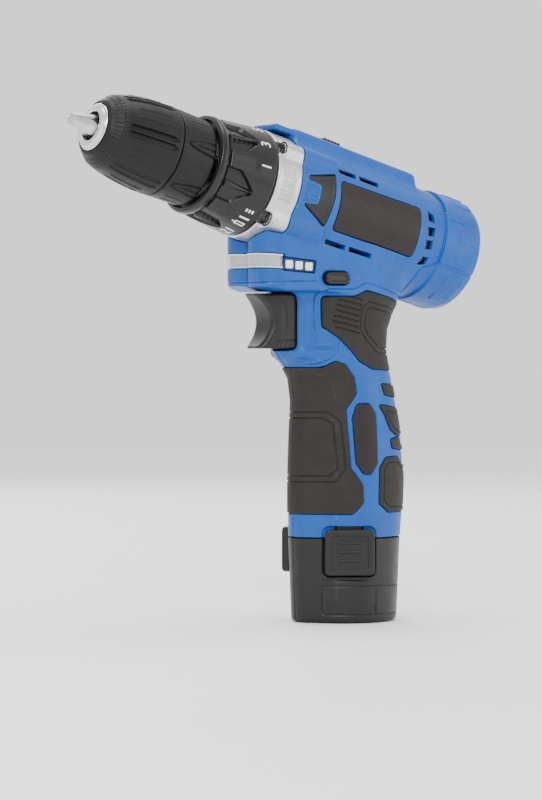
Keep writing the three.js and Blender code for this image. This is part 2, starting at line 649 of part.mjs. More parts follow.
function makeFrontSleeve() {
  const outside = [
    [18.05, SLEEVE_SPLIT], [17.7, 101], [17.1, 107], [16.1, 113.4], [15.2, 116.6], [14.2, 119.4],
    [10.4, SLEEVE_FRONT],
  ];
  const inside = [
    [9.8, SLEEVE_FRONT], [9.8, 121], [12.6, 117], [14.6, 112], [SLEEVE_BORE_R, 104],
    [SLEEVE_BORE_R, SLEEVE_SPLIT],
  ];
  const flutes = Array.from({ length: 6 }, (_, i) => {
    const a = (i * Math.PI) / 3;
    const flutePoint = (r, u) => inBarrel(Math.cos(a) * r, u, Math.sin(a) * r);
    return strut(flutePoint(19.2, 97), flutePoint(17.2, 118), 2.2, 6);
  });
  return cut(turned([...outside, ...inside, outside[0]]), ...flutes);
}
const makeNoseRing = () =>
  turned([
    [5.9, 121], [9.4, 121], [9.4, 124.3], [8.6, 124.5], [8.6, NOSE_RING_FRONT], [5.9, NOSE_RING_FRONT],
    [5.9, 121],
  ]);

// ---------- build: controls ----------
function makeTrigger() {
  const side = new THREE.Shape();
  side.moveTo(-46.8, TRIGGER_TOP);
  side.quadraticCurveTo(-33.5, 121.5, -42.6, TRIGGER_BOTTOM + 1.2);
  side.lineTo(-41.5, TRIGGER_BOTTOM);
  side.lineTo(-21, TRIGGER_BOTTOM);
  side.lineTo(-21, TRIGGER_TOP);
  side.closePath();
  const corner = TRIGGER_HALF - 1.5;
  const plan = wrapped([
    [-43, 0, 5.5], [-25, -corner, 1.5], [-19, -corner, 1.5], [-19, corner, 1.5], [-25, corner, 1.5],
  ]);
  return prism(side, 24, SIDE, -12, 8).intersect(upright(plan, TRIGGER_BOTTOM, TRIGGER_TOP, 3));
}
const makeSwitchBody = () => join(box(-12, 7, -9.5, 9.5, 103, 130), box(-13.6, -11, -3, 3, 112, 120));
const makeDirectionButton = () => sidePrism(rectangle(-24.2, 135, -11.3, 141, 2.9), -20.6, 20.6);
const makeSpeedSelector = () =>
  join(
    barrelSide(rectangle(9, 24.6, 23, 26.1), -5.1, 5.1),
    barrelSide(outline([[11, 26], [21, 26], [20, 28.2], [12, 28.2]]), -4.4, 4.4),
  );

// ---------- build: battery ----------
const CUP = [[0, 0.92], [0.6, 0.935], [2, 0.945], [4, 0.95], [CUP_TOP, 1]]; // height, size
function cupForm() {
  const geometry = new THREE.ExtrudeGeometry(EGG, {
    depth: 1,
    steps: CUP.length - 1,
    bevelEnabled: false,
    curveSegments: 4,
  });
  const position = geometry.attributes.position;
  const [, front, rear, half] = HANDLE[0];
  for (let i = 0; i < position.count; i += 1) {
    const [height, size] = CUP[Math.round(position.getZ(i) * (CUP.length - 1))];
    const x = (front + rear) / 2 + (position.getX(i) * (rear - front) * size) / 2;
    position.setXYZ(i, x, (position.getY(i) / EGG_HALF) * half * size, height);
  }
  return solid(geometry);
}
function makeBatteryBase() {
  const pockets = [1, -1].map((side) =>
    onLatch(rectangle(-LATCH_WIDTH / 2 - GAP, 18.7, LATCH_WIDTH / 2 + GAP, 40, 2), side, 16.6, 40));
  return cut(cupForm(), upright(towerOutline(TOWER_R + GAP), 4, 60, 4), ...pockets);
}
function makeBatteryTower() {
  const shell = upright(towerOutline(TOWER_R), 4.4, BATTERY_TOP, 4);
  return cut(shell, upright(towerOutline(TOWER_R - TOWER_WALL), 3, BATTERY_TOP - 1.2, 4));
}
function makeCellPack() {
  const centres = [[APEX_CELL_X, 0], [REAR_CELL_X, -REAR_CELL_Y], [REAR_CELL_X, REAR_CELL_Y]];
  const cellTop = CELL_BOTTOM + CELL_LENGTH;
  const cells = centres.map(([x, y]) => strut(v3(x, y, CELL_BOTTOM), v3(x, y, cellTop), CELL_R, 14));
  const strips = [CELL_BOTTOM - 0.5, cellTop - 0.1].map((z) =>
    upright(wrapped(centres.map(([x, y]) => [x, y, 3])), z, z + 0.6));
  return join(...cells, ...strips);
}
function makeLatch(side) {
  const half = LATCH_WIDTH / 2;
  const button = onLatch(rectangle(-half, 19, half, 37.4, 2), side, LATCH_FACE - LATCH_DEPTH, LATCH_FACE);
  const tongue = onLatch(rectangle(-5, 34, 5, 42, 0.6), side, 19.2, LATCH_FACE - 3);
  const grooves = [24.5, 28, 31.5].map((z) =>
    onLatch(rectangle(-5, z - 0.6, 5, z + 0.6), side, LATCH_FACE - 0.8, LATCH_FACE + 1));
  return cut(join(button, tongue), ...grooves);
}
const makeTerminalBlock = () => upright(rectangle(-12, -11, 10, 11, 3), 91.5, 98);

// ---------- assembly ----------
const housing = makeHousing();
const leftSide = box(-90, 90, -60, -SEAM_GAP, 0, 260);
const rightSide = box(-90, 90, SEAM_GAP, 60, 0, 260);
piece("left_housing", housing.intersect(leftSide), BLUE);
piece("right_housing", housing.intersect(rightSide), BLUE);
for (const [name, side] of [["left", 1], ["right", -1]]) {
  for (const [grip, points] of Object.entries(GRIPS)) {
    piece(`${name}_${grip}`, gripPad(points, side), RUBBER);
  }
  piece(`${name}_side_plate`, sidePanel(SIDE_PLATE, side), BLACK);
  piece(`${name}_trim_insert`, sidePanel(TRIM_INSERT, side), BLACK);
}
piece("light_lens", lens(), CLEAR);
piece("charge_gauge", gauge(), BLACK);
piece("gear_case", makeGearCase(), CAST);
LUG_ANGLES.forEach((angle, i) => {
  const head = lugPoint(angle, CASE_FRONT - 2.6, SCREW_REACH);
  piece(`gear_case_screw_${i + 1}`, screw(head, BACKWARDS, 14, CASE_SCREW_HEAD_R, 2.4), STEEL);
});
HOUSING_SCREWS.forEach((place, i) => {
  const shape = screw(housingScrewHead(place), v3(0, -1, 0), 14, SCREW_HEAD_R, SCREW_HEAD_DEPTH);
  piece(`housing_screw_${i + 1}`, shape, STEEL);
});
piece("ring_gear", makeRingGear(), STEEL);
planetAngles.forEach((angle, i) => piece(`first_planet_${i + 1}`, makePlanet(angle, STAGE_ONE), STEEL));
planetAngles.forEach((angle, i) => piece(`second_planet_${i + 1}`, makePlanet(angle, STAGE_TWO), STEEL));
piece("first_carrier", makeCarrierOne(), STEEL);
piece("spindle", makeSpindle(), STEEL);
piece("spindle_bearing", tube(5 + GAP, 7.7, 58, 66, 16), STEEL);
piece("motor_can", makeMotorCan(), STEEL);
piece("motor_end_cap", makeMotorCap(), BLACK);
piece("motor_shaft", makeMotorShaft(), STEEL);
piece("armature", makeArmature(), COPPER);
piece("torque_collar", makeCollar(), BLACK);
piece("clutch_nut", makeClutchNut(), STEEL);
piece("clutch_spring", makeClutchSpring(), STEEL);
piece("chuck_body", makeChuckBody(), STEEL);
piece("chuck_rear_sleeve", makeRearSleeve(), BLACK);
piece("chuck_front_sleeve", makeFrontSleeve(), BLACK);
piece("chuck_nose_ring", makeNoseRing(), STEEL);
JAW_TURNS.forEach((angle, i) => piece(`chuck_jaw_${i + 1}`, makeJaw(angle), STEEL));
piece("trigger", makeTrigger(), BLACK);
piece("switch_body", makeSwitchBody(), BLACK);
piece("direction_button", makeDirectionButton(), BLACK);
piece("speed_selector", makeSpeedSelector(), BLACK);
piece("battery_base", makeBatteryBase(), BLACK);
piece("battery_tower", makeBatteryTower(), BLACK);
piece("cell_pack", makeCellPack(), WRAP);
piece("latch_left", makeLatch(1), BLACK);
piece("latch_right", makeLatch(-1), BLACK);
piece("terminal_block", makeTerminalBlock(), BLACK);

export default drill;
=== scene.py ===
import math

import bpy
import numpy as np
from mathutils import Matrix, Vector


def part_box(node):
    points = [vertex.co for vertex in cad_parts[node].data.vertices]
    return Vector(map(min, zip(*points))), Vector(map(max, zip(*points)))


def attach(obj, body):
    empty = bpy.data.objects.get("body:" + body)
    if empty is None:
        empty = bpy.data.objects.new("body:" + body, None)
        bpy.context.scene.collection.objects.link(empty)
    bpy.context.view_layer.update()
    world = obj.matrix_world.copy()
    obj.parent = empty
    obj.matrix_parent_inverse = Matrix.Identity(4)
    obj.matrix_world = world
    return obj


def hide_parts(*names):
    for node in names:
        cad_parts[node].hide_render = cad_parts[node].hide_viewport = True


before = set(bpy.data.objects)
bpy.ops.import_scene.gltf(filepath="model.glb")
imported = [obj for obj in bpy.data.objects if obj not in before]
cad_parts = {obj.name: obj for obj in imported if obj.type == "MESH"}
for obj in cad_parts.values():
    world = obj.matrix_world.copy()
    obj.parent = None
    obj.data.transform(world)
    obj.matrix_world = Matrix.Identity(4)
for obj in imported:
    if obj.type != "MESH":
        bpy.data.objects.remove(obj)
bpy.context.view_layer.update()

# Lengths below are millimetres in the row's frame; meshes are written in metres.
MM = 0.001
TILT = math.radians(15)
COS, SIN = math.cos(TILT), math.sin(TILT)
BARREL_HEIGHT = 163  # of the point where the barrel's and the handle's axes cross
BARREL_R = 22.6
BARREL_FRONT = 38.4
BORE_R = 20.3
CASE_R = 22.4
CUP_TOP = 33.7
GAP = 0.3  # between neighbouring pieces
NOSE = Vector((-COS, 0, SIN))
ACROSS = Vector((SIN, 0, COS))
SEAM = 0.1  # each housing half stops this far from the middle plane
LEFT, RIGHT = 1, -1


# ---------- camera, light and floor ----------
CAMERA_PLACE = Vector((-722.2, -958.4, 105.3))
CAMERA_HEADING = math.radians(-35.61)
CAMERA_PITCH = math.radians(-0.77)
FOCAL_LENGTH = 132.3
FLOOR_REACH = 60  # metres


def aimed(obj, place, target):
    obj.location = Vector(place) * MM
    direction = (Vector(target) - Vector(place)).normalized()
    obj.rotation_euler = direction.to_track_quat("-Z", "Y").to_euler()
    bpy.context.scene.collection.objects.link(obj)
    return obj


def make_camera():
    data = bpy.data.cameras.new("camera")
    data.lens = FOCAL_LENGTH
    data.clip_start = 0.05
    level = math.cos(CAMERA_PITCH)
    forward = Vector((
        -math.sin(CAMERA_HEADING) * level, math.cos(CAMERA_HEADING) * level, math.sin(CAMERA_PITCH),
    ))
    camera = aimed(bpy.data.objects.new("camera", data), CAMERA_PLACE, CAMERA_PLACE + forward * 1000)
    bpy.context.scene.camera = camera


def area_light(name, place, target, size, watts):
    data = bpy.data.lights.new(name, "AREA")
    data.shape = "DISK"
    data.size = size
    data.energy = watts
    aimed(bpy.data.objects.new(name, data), place, target)


def make_studio():
    area_light("key", (-900, -900, 900), (0, 0, 120), 0.6, 13)
    area_light("fill", (900, -1100, 350), (0, 0, 120), 0.9, 5)
    area_light("top", (100, 100, 1300), (0, 0, 120), 0.7, 8)
    area_light("back", (300, 1100, 700), (0, 0, 150), 0.8, 7)
    world = bpy.data.worlds.new("studio")
    world.use_nodes = True
    world.node_tree.nodes["Background"].inputs["Color"].default_value = (1, 1, 1, 1)
    world.node_tree.nodes["Background"].inputs["Strength"].default_value = 1.3
    bpy.context.scene.world = world
    mesh = bpy.data.meshes.new("floor")
    corners = [(x * FLOOR_REACH, y * FLOOR_REACH, 0) for x, y in ((-1, -1), (1, -1), (1, 1), (-1, 1))]
    mesh.from_pydata(corners, [], [(0, 1, 2, 3)])
    floor = bpy.data.objects.new("floor", mesh)
    floor.location.z = -0.0005
    bpy.context.scene.collection.objects.link(floor)
    paint = bpy.data.materials.new("floor_paint")
    paint.use_nodes = True
    shader = paint.node_tree.nodes["Principled BSDF"]
    shader.inputs["Base Color"].default_value = (0.97, 0.97, 0.97, 1)
    shader.inputs["Roughness"].default_value = 0.6
    mesh.materials.append(paint)


make_camera()
make_studio()


# ---------- materials ----------
class Paint:
    """A principled material whose colour, roughness and bump come from noise in the object's own space."""

    def __init__(self, name, color, roughness, metallic=0.0, coat=0.0, specular=0.3):
        self.material = bpy.data.materials.new(name)
        self.material.use_nodes = True
        self.tree = self.material.node_tree
        self.shader = self.tree.nodes["Principled BSDF"]
        self.color = (*color, 1)
        self.roughness = roughness
        self.shader.inputs["Metallic"].default_value = metallic
        self.shader.inputs["Coat Weight"].default_value = coat
        self.shader.inputs["Coat Roughness"].default_value = 0.25
        self.shader.inputs["Specular IOR Level"].default_value = specular
        self.place = self.node("ShaderNodeTexCoord").outputs["Object"]
        self.bump = None

    def node(self, kind, **inputs):
        made = self.tree.nodes.new(kind)
        for name, value in inputs.items():
            self.feed(made.inputs[name.replace("_", " ")], value)
        return made

    def feed(self, socket, value):
        if isinstance(value, bpy.types.NodeSocket):
            self.tree.links.new(value, socket)
        else:
            socket.default_value = value

    def noise(self, scale, detail=3.0, stretch=None):
        place = self.place
        if stretch:
            turned = self.node("ShaderNodeMapping", Vector=place, Rotation=(0, TILT, 0), Scale=stretch)
            place = turned.outputs["Vector"]
        return self.node("ShaderNodeTexNoise", Vector=place, Scale=scale, Detail=detail).outputs["Fac"]

    def ramp(self, fac, low, high, dark, light):
        limits = dict(From_Min=low, From_Max=high, To_Min=dark, To_Max=light)
        return self.node("ShaderNodeMapRange", Value=fac, **limits).outputs["Result"]

    def mix(self, fac, a, b):
        made = self.tree.nodes.new("ShaderNodeMix")
        made.data_type = "RGBA"
        self.feed(made.inputs[0], fac)
        self.feed(made.inputs[6], a)
        self.feed(made.inputs[7], b)
        return made.outputs[2]

    def grain(self, height, strength, distance):
        made = self.node("ShaderNodeBump", Height=height, Strength=strength, Distance=distance)
        if self.bump is not None:
            self.feed(made.inputs["Normal"], self.bump)
        self.bump = made.outputs["Normal"]

    def finish(self, color, roughness):
        self.feed(self.shader.inputs["Base Color"], color)
        self.feed(self.shader.inputs["Roughness"], roughness)
        if self.bump is not None:
            self.feed(self.shader.inputs["Normal"], self.bump)
        return self.material


def shade(color, factor):
    return tuple(min(1, c * factor) for c in color[:3]) + (1,)


def moulded(name, color, roughness, grain=4000, depth=0.00004, edge=1.35, coat=0.0, specular=0.3):
    """Moulded plastic or rubber: fine tool grain, faint mottling, and convex edges painted lighter, partly as wear
    and partly as a painted highlight.
    """
    paint = Paint(name, color, roughness, coat=coat, specular=specular)
    mottle = paint.ramp(paint.noise(70), 0.35, 0.65, 0, 1)
    base = paint.mix(mottle, shade(paint.color, 0.93), shade(paint.color, 1.06))
    geometry = paint.node("ShaderNodeNewGeometry")
    # Convex edges from Pointiness, broken up by noise: this lightening is partly real edge wear and partly a painted
    # highlight along the edges.
    convex_edges = paint.ramp(geometry.outputs["Pointiness"], 0.515, 0.56, 0, 1)
    edge_patches = paint.ramp(paint.noise(900, 5), 0.4, 0.7, 0.35, 1)
    edge_wear_and_highlight = paint.node("ShaderNodeMath")
    edge_wear_and_highlight.operation = "MULTIPLY"
    paint.feed(edge_wear_and_highlight.inputs[0], convex_edges)
    paint.feed(edge_wear_and_highlight.inputs[1], edge_patches)
    # Painted highlight and wear: the colour is lifted by the edge factor on the convex edges.
    base = paint.mix(edge_wear_and_highlight.outputs[0], base, shade(paint.color, edge))
    paint.grain(paint.noise(grain, 2), 0.35, depth)
    rough = paint.ramp(paint.noise(220, 4), 0.3, 0.7, roughness - 0.05, roughness + 0.06)
    return paint.finish(base, rough)


def metal(name, color, roughness, stretch=(3000, 120, 120), depth=0.00002):
    """Turned or brushed metal: fine rings across the barrel's axis, faint stains."""
    paint = Paint(name, color, roughness, metallic=1.0, specular=0.5)
    rings = paint.noise(1, 3, stretch)
    stain = paint.ramp(paint.noise(120), 0.35, 0.7, 0, 1)
    base = paint.mix(stain, shade(paint.color, 1.05), shade(paint.color, 0.84))
    paint.grain(rings, 0.3, depth)
    return paint.finish(base, paint.ramp(rings, 0.3, 0.7, roughness - 0.06, roughness + 0.08))


def cast_metal(name, color, roughness):
    """Blasted casting: sandy grain and slow tone changes."""
    paint = Paint(name, color, roughness, metallic=0.9, specular=0.5)
    tone = paint.ramp(paint.noise(160, 4), 0.3, 0.7, 0, 1)
    base = paint.mix(tone, shade(paint.color, 0.9), shade(paint.color, 1.05))
    paint.grain(paint.noise(2600, 4), 0.5, 0.00006)
    return paint.finish(base, paint.ramp(paint.noise(500), 0.3, 0.7, roughness - 0.07, roughness + 0.07))


def clear(name):
    paint = Paint(name, (0.96, 0.98, 1), 0.06)
    paint.shader.inputs["Transmission Weight"].default_value = 0.85
    paint.shader.inputs["IOR"].default_value = 1.49
    paint.grain(paint.noise(260, 2), 0.15, 0.00005)
    haze = paint.ramp(paint.noise(300), 0.3, 0.7, 0.03, 0.12)
    return paint.finish(paint.mix(haze, (0.97, 0.98, 1, 1), (0.86, 0.9, 0.95, 1)), haze)


BLUE = moulded("blue_shell", (0.0004, 0.068, 0.31), 0.42, edge=1.6, specular=0.32)
BLACK = moulded("black_nylon", (0.0075, 0.0068, 0.0062), 0.42, edge=3.0, specular=0.36)
GLOSS = moulded("black_satin", (0.006, 0.0055, 0.0055), 0.3, grain=1500, depth=0.00002, edge=3.2, coat=0.15)
SLEEVE = moulded("sleeve_black", (0.0040, 0.0033, 0.0028), 0.48, grain=2600, edge=3.2, specular=0.28)
RUBBER = moulded("grip_rubber", (0.013, 0.011, 0.0098), 0.62, grain=2400, depth=0.00008, edge=2.2)
PLATE = moulded("plate_dark", (0.012, 0.008, 0.0075), 0.5, grain=3000, edge=1.5)
NIGHT = moulded("gauge_dark", (0.003, 0.015, 0.07), 0.3, edge=1.3)
WHITE = moulded("print_white", (0.82, 0.82, 0.82), 0.5, grain=3000, edge=1.05)
SILVER = moulded("lamp_silver", (0.62, 0.62, 0.64), 0.25, grain=3000, edge=1.1)
WRAP = moulded("cell_wrap_green", (0.02, 0.25, 0.11), 0.35, edge=1.2)
CAST = cast_metal("cast_alloy", (0.62, 0.61, 0.60), 0.36)
STEEL = metal("turned_steel", (0.56, 0.56, 0.57), 0.3)
BRIGHT = metal("bright_steel", (0.78, 0.78, 0.79), 0.2)
DARK_STEEL = metal("oiled_steel", (0.2, 0.2, 0.21), 0.35)
COPPER = metal("copper", (0.72, 0.33, 0.16), 0.3)
CLEAR = clear("clear_window")


# ---------- distance fields ----------
# A field takes x, y, z arrays and gives a distance, negative inside the piece.
def along(x, z):
    return -x * COS + (z - BARREL_HEIGHT) * SIN


def across(x, z):
    return x * SIN + (z - BARREL_HEIGHT) * COS


both = np.maximum  # inside one field and the other, with a sharp edge
any_of = np.minimum.reduce  # inside at least one of the fields


def union(a, b, blend=0.0):
    if not blend:
        return np.minimum(a, b)
    h = np.maximum(blend - np.abs(a - b), 0) / blend
    return np.minimum(a, b) - h * h * blend / 4


def common(a, b, blend=0.0):
    return -union(-a, -b, blend)


def cut(a, b, blend=0.0):
    return common(a, -b, blend)


def polygon(px, py, points):
    """Signed distance to a closed outline of straight sides."""
    nearest = np.full(px.shape, np.inf)
    inside = np.zeros(px.shape, bool)
    for (ax, ay), (bx, by) in zip(points, points[1:] + points[:1]):
        ex, ey = bx - ax, by - ay
        wx, wy = px - ax, py - ay
        t = np.clip((wx * ex + wy * ey) / (ex * ex + ey * ey), 0, 1)
        nearest = np.minimum(nearest, (wx - ex * t) ** 2 + (wy - ey * t) ** 2)
        if ay != by:
            crosses = (ay > py) != (by > py)
            inside ^= crosses & (px < (bx - ax) * (py - ay) / (by - ay) + ax)
    return np.sqrt(nearest) * np.where(inside, -1, 1)


def inset(points, amount):
    """The outline moved inwards, every side by the same amount."""
    count = len(points)
    area = sum(points[i][0] * points[(i + 1) % count][1] - points[(i + 1) % count][0] * points[i][1]
               for i in range(count))
    inward = -math.copysign(amount, area)

    def normal(a, b):
        length = math.hypot(b[0] - a[0], b[1] - a[1])
        return ((b[1] - a[1]) / length, (a[0] - b[0]) / length)

    moved = []
    for i, (x, y) in enumerate(points):
        before = normal(points[i - 1], points[i])
        after = normal(points[i], points[(i + 1) % count])
        middle = (before[0] + after[0], before[1] + after[1])
        reach = 2 * inward / (middle[0] ** 2 + middle[1] ** 2)
        moved.append((x + middle[0] * reach, y + middle[1] * reach))
    return moved


def rounded(px, py, points, radius):
    return polygon(px, py, inset(points, radius)) - radius


def rectangle(px, py, x0, y0, x1, y1, radius=0.0):
    dx = np.abs(px - (x0 + x1) / 2) - abs(x1 - x0) / 2 + radius
    dy = np.abs(py - (y0 + y1) / 2) - abs(y1 - y0) / 2 + radius
    return np.hypot(np.maximum(dx, 0), np.maximum(dy, 0)) + np.minimum(np.maximum(dx, dy), 0) - radius


def capsule(px, py, ax, ay, bx, by, ra, rb):
    """A straight sided outline round two circles."""
    length = math.hypot(bx - ax, by - ay)
    ex, ey = (bx - ax) / length, (by - ay) / length
    qy = (px - ax) * ex + (py - ay) * ey
    qx = np.abs((px - ax) * ey - (py - ay) * ex)
    b = (ra - rb) / length
    a = math.sqrt(1 - b * b)
    k = -b * qx + a * qy
    side = qx * a + qy * b - ra
    far_end = np.hypot(qx, qy - length) - rb
    return np.where(k < 0, np.hypot(qx, qy) - ra, np.where(k > a * length, far_end, side))


def strip(value, low, high):
    return np.maximum(low - value, value - high)


def line(distance, half, depth_field):
    """A groove of the given half width along an outline, as deep as the depth field says."""
    return np.maximum(np.abs(distance) - half, depth_field)


# ---------- meshes from fields ----------
BLOCK = 8
CORNERS = np.array([[i, j, k] for i in (0, 1) for j in (0, 1) for k in (0, 1)])
EDGES = [(a, b) for a in range(8) for b in range(a + 1, 8) if np.abs(CORNERS[a] - CORNERS[b]).sum() == 1]


def sample(field, low, high, step):
    """The field on a grid: exact near the surface, only its sign further off."""
    low = np.asarray(low, float)
    blocks = np.maximum(1, np.ceil((np.asarray(high) - low) / (step * BLOCK)).astype(int))
    centres = [low[k] + (np.arange(blocks[k]) + 0.5) * step * BLOCK for k in range(3)]
    coarse = field(*np.meshgrid(*centres, indexing="ij"))
    near = np.abs(coarse) < step * BLOCK * 1.5
    values = np.repeat(np.repeat(np.repeat(np.sign(coarse), BLOCK, 0), BLOCK, 1), BLOCK, 2)
    view = values.reshape(blocks[0], BLOCK, blocks[1], BLOCK, blocks[2], BLOCK).transpose(0, 2, 4, 1, 3, 5)
    corner = low + np.argwhere(near) * step * BLOCK
    offset = np.arange(BLOCK) * step
    x = corner[:, 0, None, None, None] + offset[None, :, None, None]
    y = corner[:, 1, None, None, None] + offset[None, None, :, None]
    z = corner[:, 2, None, None, None] + offset[None, None, None, :]
    shape = (len(corner), BLOCK, BLOCK, BLOCK)
    x, y, z = (np.broadcast_to(a, shape).ravel() for a in (x, y, z))
    view[near] = field(x, y, z).reshape(shape)
    return values, low


def gradient(field, points, reach):
    slope = []
    for k in range(3):
        shift = np.zeros(3)
        shift[k] = reach
        slope.append((field(*(points + shift).T) - field(*(points - shift).T)) / (2 * reach))
    return np.stack(slope, 1)


def surface(field, low, high, step):
    """Vertices and quads of the field's zero surface."""
    values, origin = sample(field, low, high, step)
    inside = values < 0
    nx, ny, nz = (size - 1 for size in inside.shape)
    count = sum(inside[i:nx + i, j:ny + j, k:nz + k].astype(np.int8) for i, j, k in CORNERS)
    cells = np.argwhere((count > 0) & (count < 8))
    at = [values[tuple((cells + corner).T)] for corner in CORNERS]
    total = np.zeros((len(cells), 3))
    hits = np.zeros(len(cells))
    for a, b in EDGES:
        crossing = (at[a] < 0) != (at[b] < 0)
        t = np.where(crossing, at[a] / np.where(crossing, at[a] - at[b], 1), 0)
        total += crossing[:, None] * (CORNERS[a] + (CORNERS[b] - CORNERS[a]) * t[:, None])
        hits += crossing
    points = origin + (cells + total / hits[:, None]) * step
    for _ in range(2):
        slope = gradient(field, points, step * 0.2)
        move = field(*points.T) / np.maximum((slope ** 2).sum(1), 0.25)
        points -= slope * np.clip(move, -0.5 * step, 0.5 * step)[:, None]
    index = np.full(count.shape, -1, np.int32)
    index[tuple(cells.T)] = np.arange(len(cells))
    quads = []
    for axis in range(3):
        b, c = (axis + 1) % 3, (axis + 2) % 3
        first = np.take(inside, range(inside.shape[axis] - 1), axis)
        second = np.take(inside, range(1, inside.shape[axis]), axis)
        spots = np.argwhere(first != second)
        keep = (spots[:, b] > 0) & (spots[:, c] > 0)
        keep &= (spots[:, b] < count.shape[b]) & (spots[:, c] < count.shape[c])
        spots = spots[keep]
        step_b, step_c = np.eye(3, dtype=int)[b], np.eye(3, dtype=int)[c]
        ring = [spots, spots - step_b, spots - step_b - step_c, spots - step_c]
        quad = np.stack([index[tuple(r.T)] for r in ring], 1)
        flip = first[tuple(spots.T)]
        quads.append(np.where(flip[:, None], quad, quad[:, ::-1]))
    return points, np.concatenate(quads)


def add_mesh(name, points, faces, material, body, replaced=(), sharp=None):
    """faces: an array of quads, or a list of index lists. points in millimetres."""
    mesh = bpy.data.meshes.new(name)
    points = np.asarray(points, float) * MM
    if isinstance(faces, np.ndarray):
        mesh.vertices.add(len(points))
        mesh.vertices.foreach_set("co", points.astype(np.float32).ravel())
        mesh.loops.add(faces.size)
        mesh.loops.foreach_set("vertex_index", faces.astype(np.int32).ravel())
        mesh.polygons.add(len(faces))
        mesh.polygons.foreach_set("loop_start", np.arange(0, faces.size, faces.shape[1], dtype=np.int32))
        mesh.update(calc_edges=True)
        mesh.validate()
    else:
        mesh.from_pydata(points.tolist(), [], faces)
    mesh.polygons.foreach_set("use_smooth", np.ones(len(mesh.polygons), bool))
    if sharp:
        mesh.set_sharp_from_angle(angle=math.radians(sharp))
    mesh.materials.append(material)
    obj = bpy.data.objects.new(name, mesh)
    bpy.context.scene.collection.objects.link(obj)
    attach(obj, body)
    if replaced:
        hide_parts(*replaced)
    return obj


def around(node, margin=1.5):
    """A CAD node's box in millimetres, grown by the margin."""
    low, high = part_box(node)
    return np.array(low) / MM - margin, np.array(high) / MM + margin


def sculpt(name, field, node, step, material, body, stands_for=True, margin=1.0):
    """A piece made from its field within a CAD node's box; it stands for that node unless told otherwise."""
    points, faces = surface(field, *around(node, margin), step)
    add_mesh(name, points, faces, material, body, [node] if stands_for else ())


def sculpt_pair(name, field, step, material, margin=1.5):
    """The left piece from its field, and the right piece as its mirror image."""
    points, faces = surface(field, *around(f"left_{name}", margin), step)
    add_mesh(f"left_{name}_skin", points, faces, material, "housing", [f"left_{name}"])
    mirrored = points * np.array([1, -1, 1])
    add_mesh(f"right_{name}_skin", mirrored, faces[:, ::-1], material, "housing", [f"right_{name}"])


# ---------- handle ----------
# Height, front, rear, half width.
HANDLE = np.array([
    [20, -25.0, 23.2, 22.5], [34, -25.0, 23.4, 22.5], [45, -25.1, 24.4, 22.6], [57, -25.1, 25.0, 22.6],
    [75, -24.5, 23.7, 22.0], [89, -23.8, 21.0, 21.1], [98, -25.2, 19.2, 20.4], [104, -29.4, 18.1, 19.7],
    [109, -33.6, 17.5, 19.2], [111.5, -30, 17.3, 19.0], [118, -29.0, 17.7, 19.0], [124, -29.0, 20.3, 19.0],
    [132, -29.0, 25.0, 19.3], [142, -29.0, 30.0, 19.5], [160, -29.0, 33.0, 19.5],
])
EGG_HALF = 0.99
EGG_SHIFT = 0.08
EGG_R = EGG_HALF - EGG_SHIFT


def egg(px, py):
    """The grip's section, about one unit from its middle to each side; py is never negative."""
    nose = capsule(px, py, EGG_SHIFT, EGG_SHIFT, -0.55, 0, EGG_R, 0.45)
    belly = capsule(px, py, EGG_SHIFT, -EGG_SHIFT, EGG_SHIFT, EGG_SHIFT, EGG_R, EGG_R - 0.00001)
    return np.minimum(nose, belly)


def handle_field(x, y, z):
    front, rear, half = (np.interp(z, HANDLE[:, 0], HANDLE[:, k]) for k in (1, 2, 3))
    deep = (rear - front) / 2
    px = (x - (front + rear) / 2) / deep
    py = np.abs(y) / half * EGG_HALF
    return egg(px, py) * (deep + half) / 2


# ---------- housing form ----------
BARREL_PROFILE = [
    (-1, -57), (20.4, -57), (22.5, -55.2), (23.6, -51.5), (23.6, -37), (BARREL_R, -36.4),
    (BARREL_R, BARREL_FRONT), (-1, BARREL_FRONT),
]
CAP_BARS = [(10.6, 1), (-13.5, 0.7), (34, 0.8), (55, 1), (76, 0.8), (-36, 0.9), (-60, 1)]  # angle, width
LUG_ANGLES = [math.radians(a) for a in (40, 140, 222, 318)]
LUG_REACH = 24.2
SCREW_REACH = LUG_REACH - 3


def lug_axes(y, v, r, reach=LUG_REACH - 4):
    """Distance from the nearest of the four screw lugs' axes, less r."""
    spread = [np.hypot(y - math.cos(a) * reach, v - math.sin(a) * reach) for a in LUG_ANGLES]
    return any_of(spread) - r


def chin_plan(x, y):
    front = capsule(x, np.abs(y), -40, 7, 0, 14, 10, 5.5)
    rear = capsule(x, np.abs(y), 0, 14, 14, 0, 5.5, 8)
    core = rectangle(x, y, -40, -14, 8, 14)
    core = np.where(np.abs(y) > 7 + (x + 40) * 7 / 40, 1e3, core)
    return any_of([front, rear, core])


def chin_field(x, y, z):
    profile = polygon(x, z, [(-54, 159), (-51.3, 148), (-49, 135), (-40, 132.9), (26, 132.9), (26, 159)])
    return common(chin_plan(x, y), profile, 1.6)


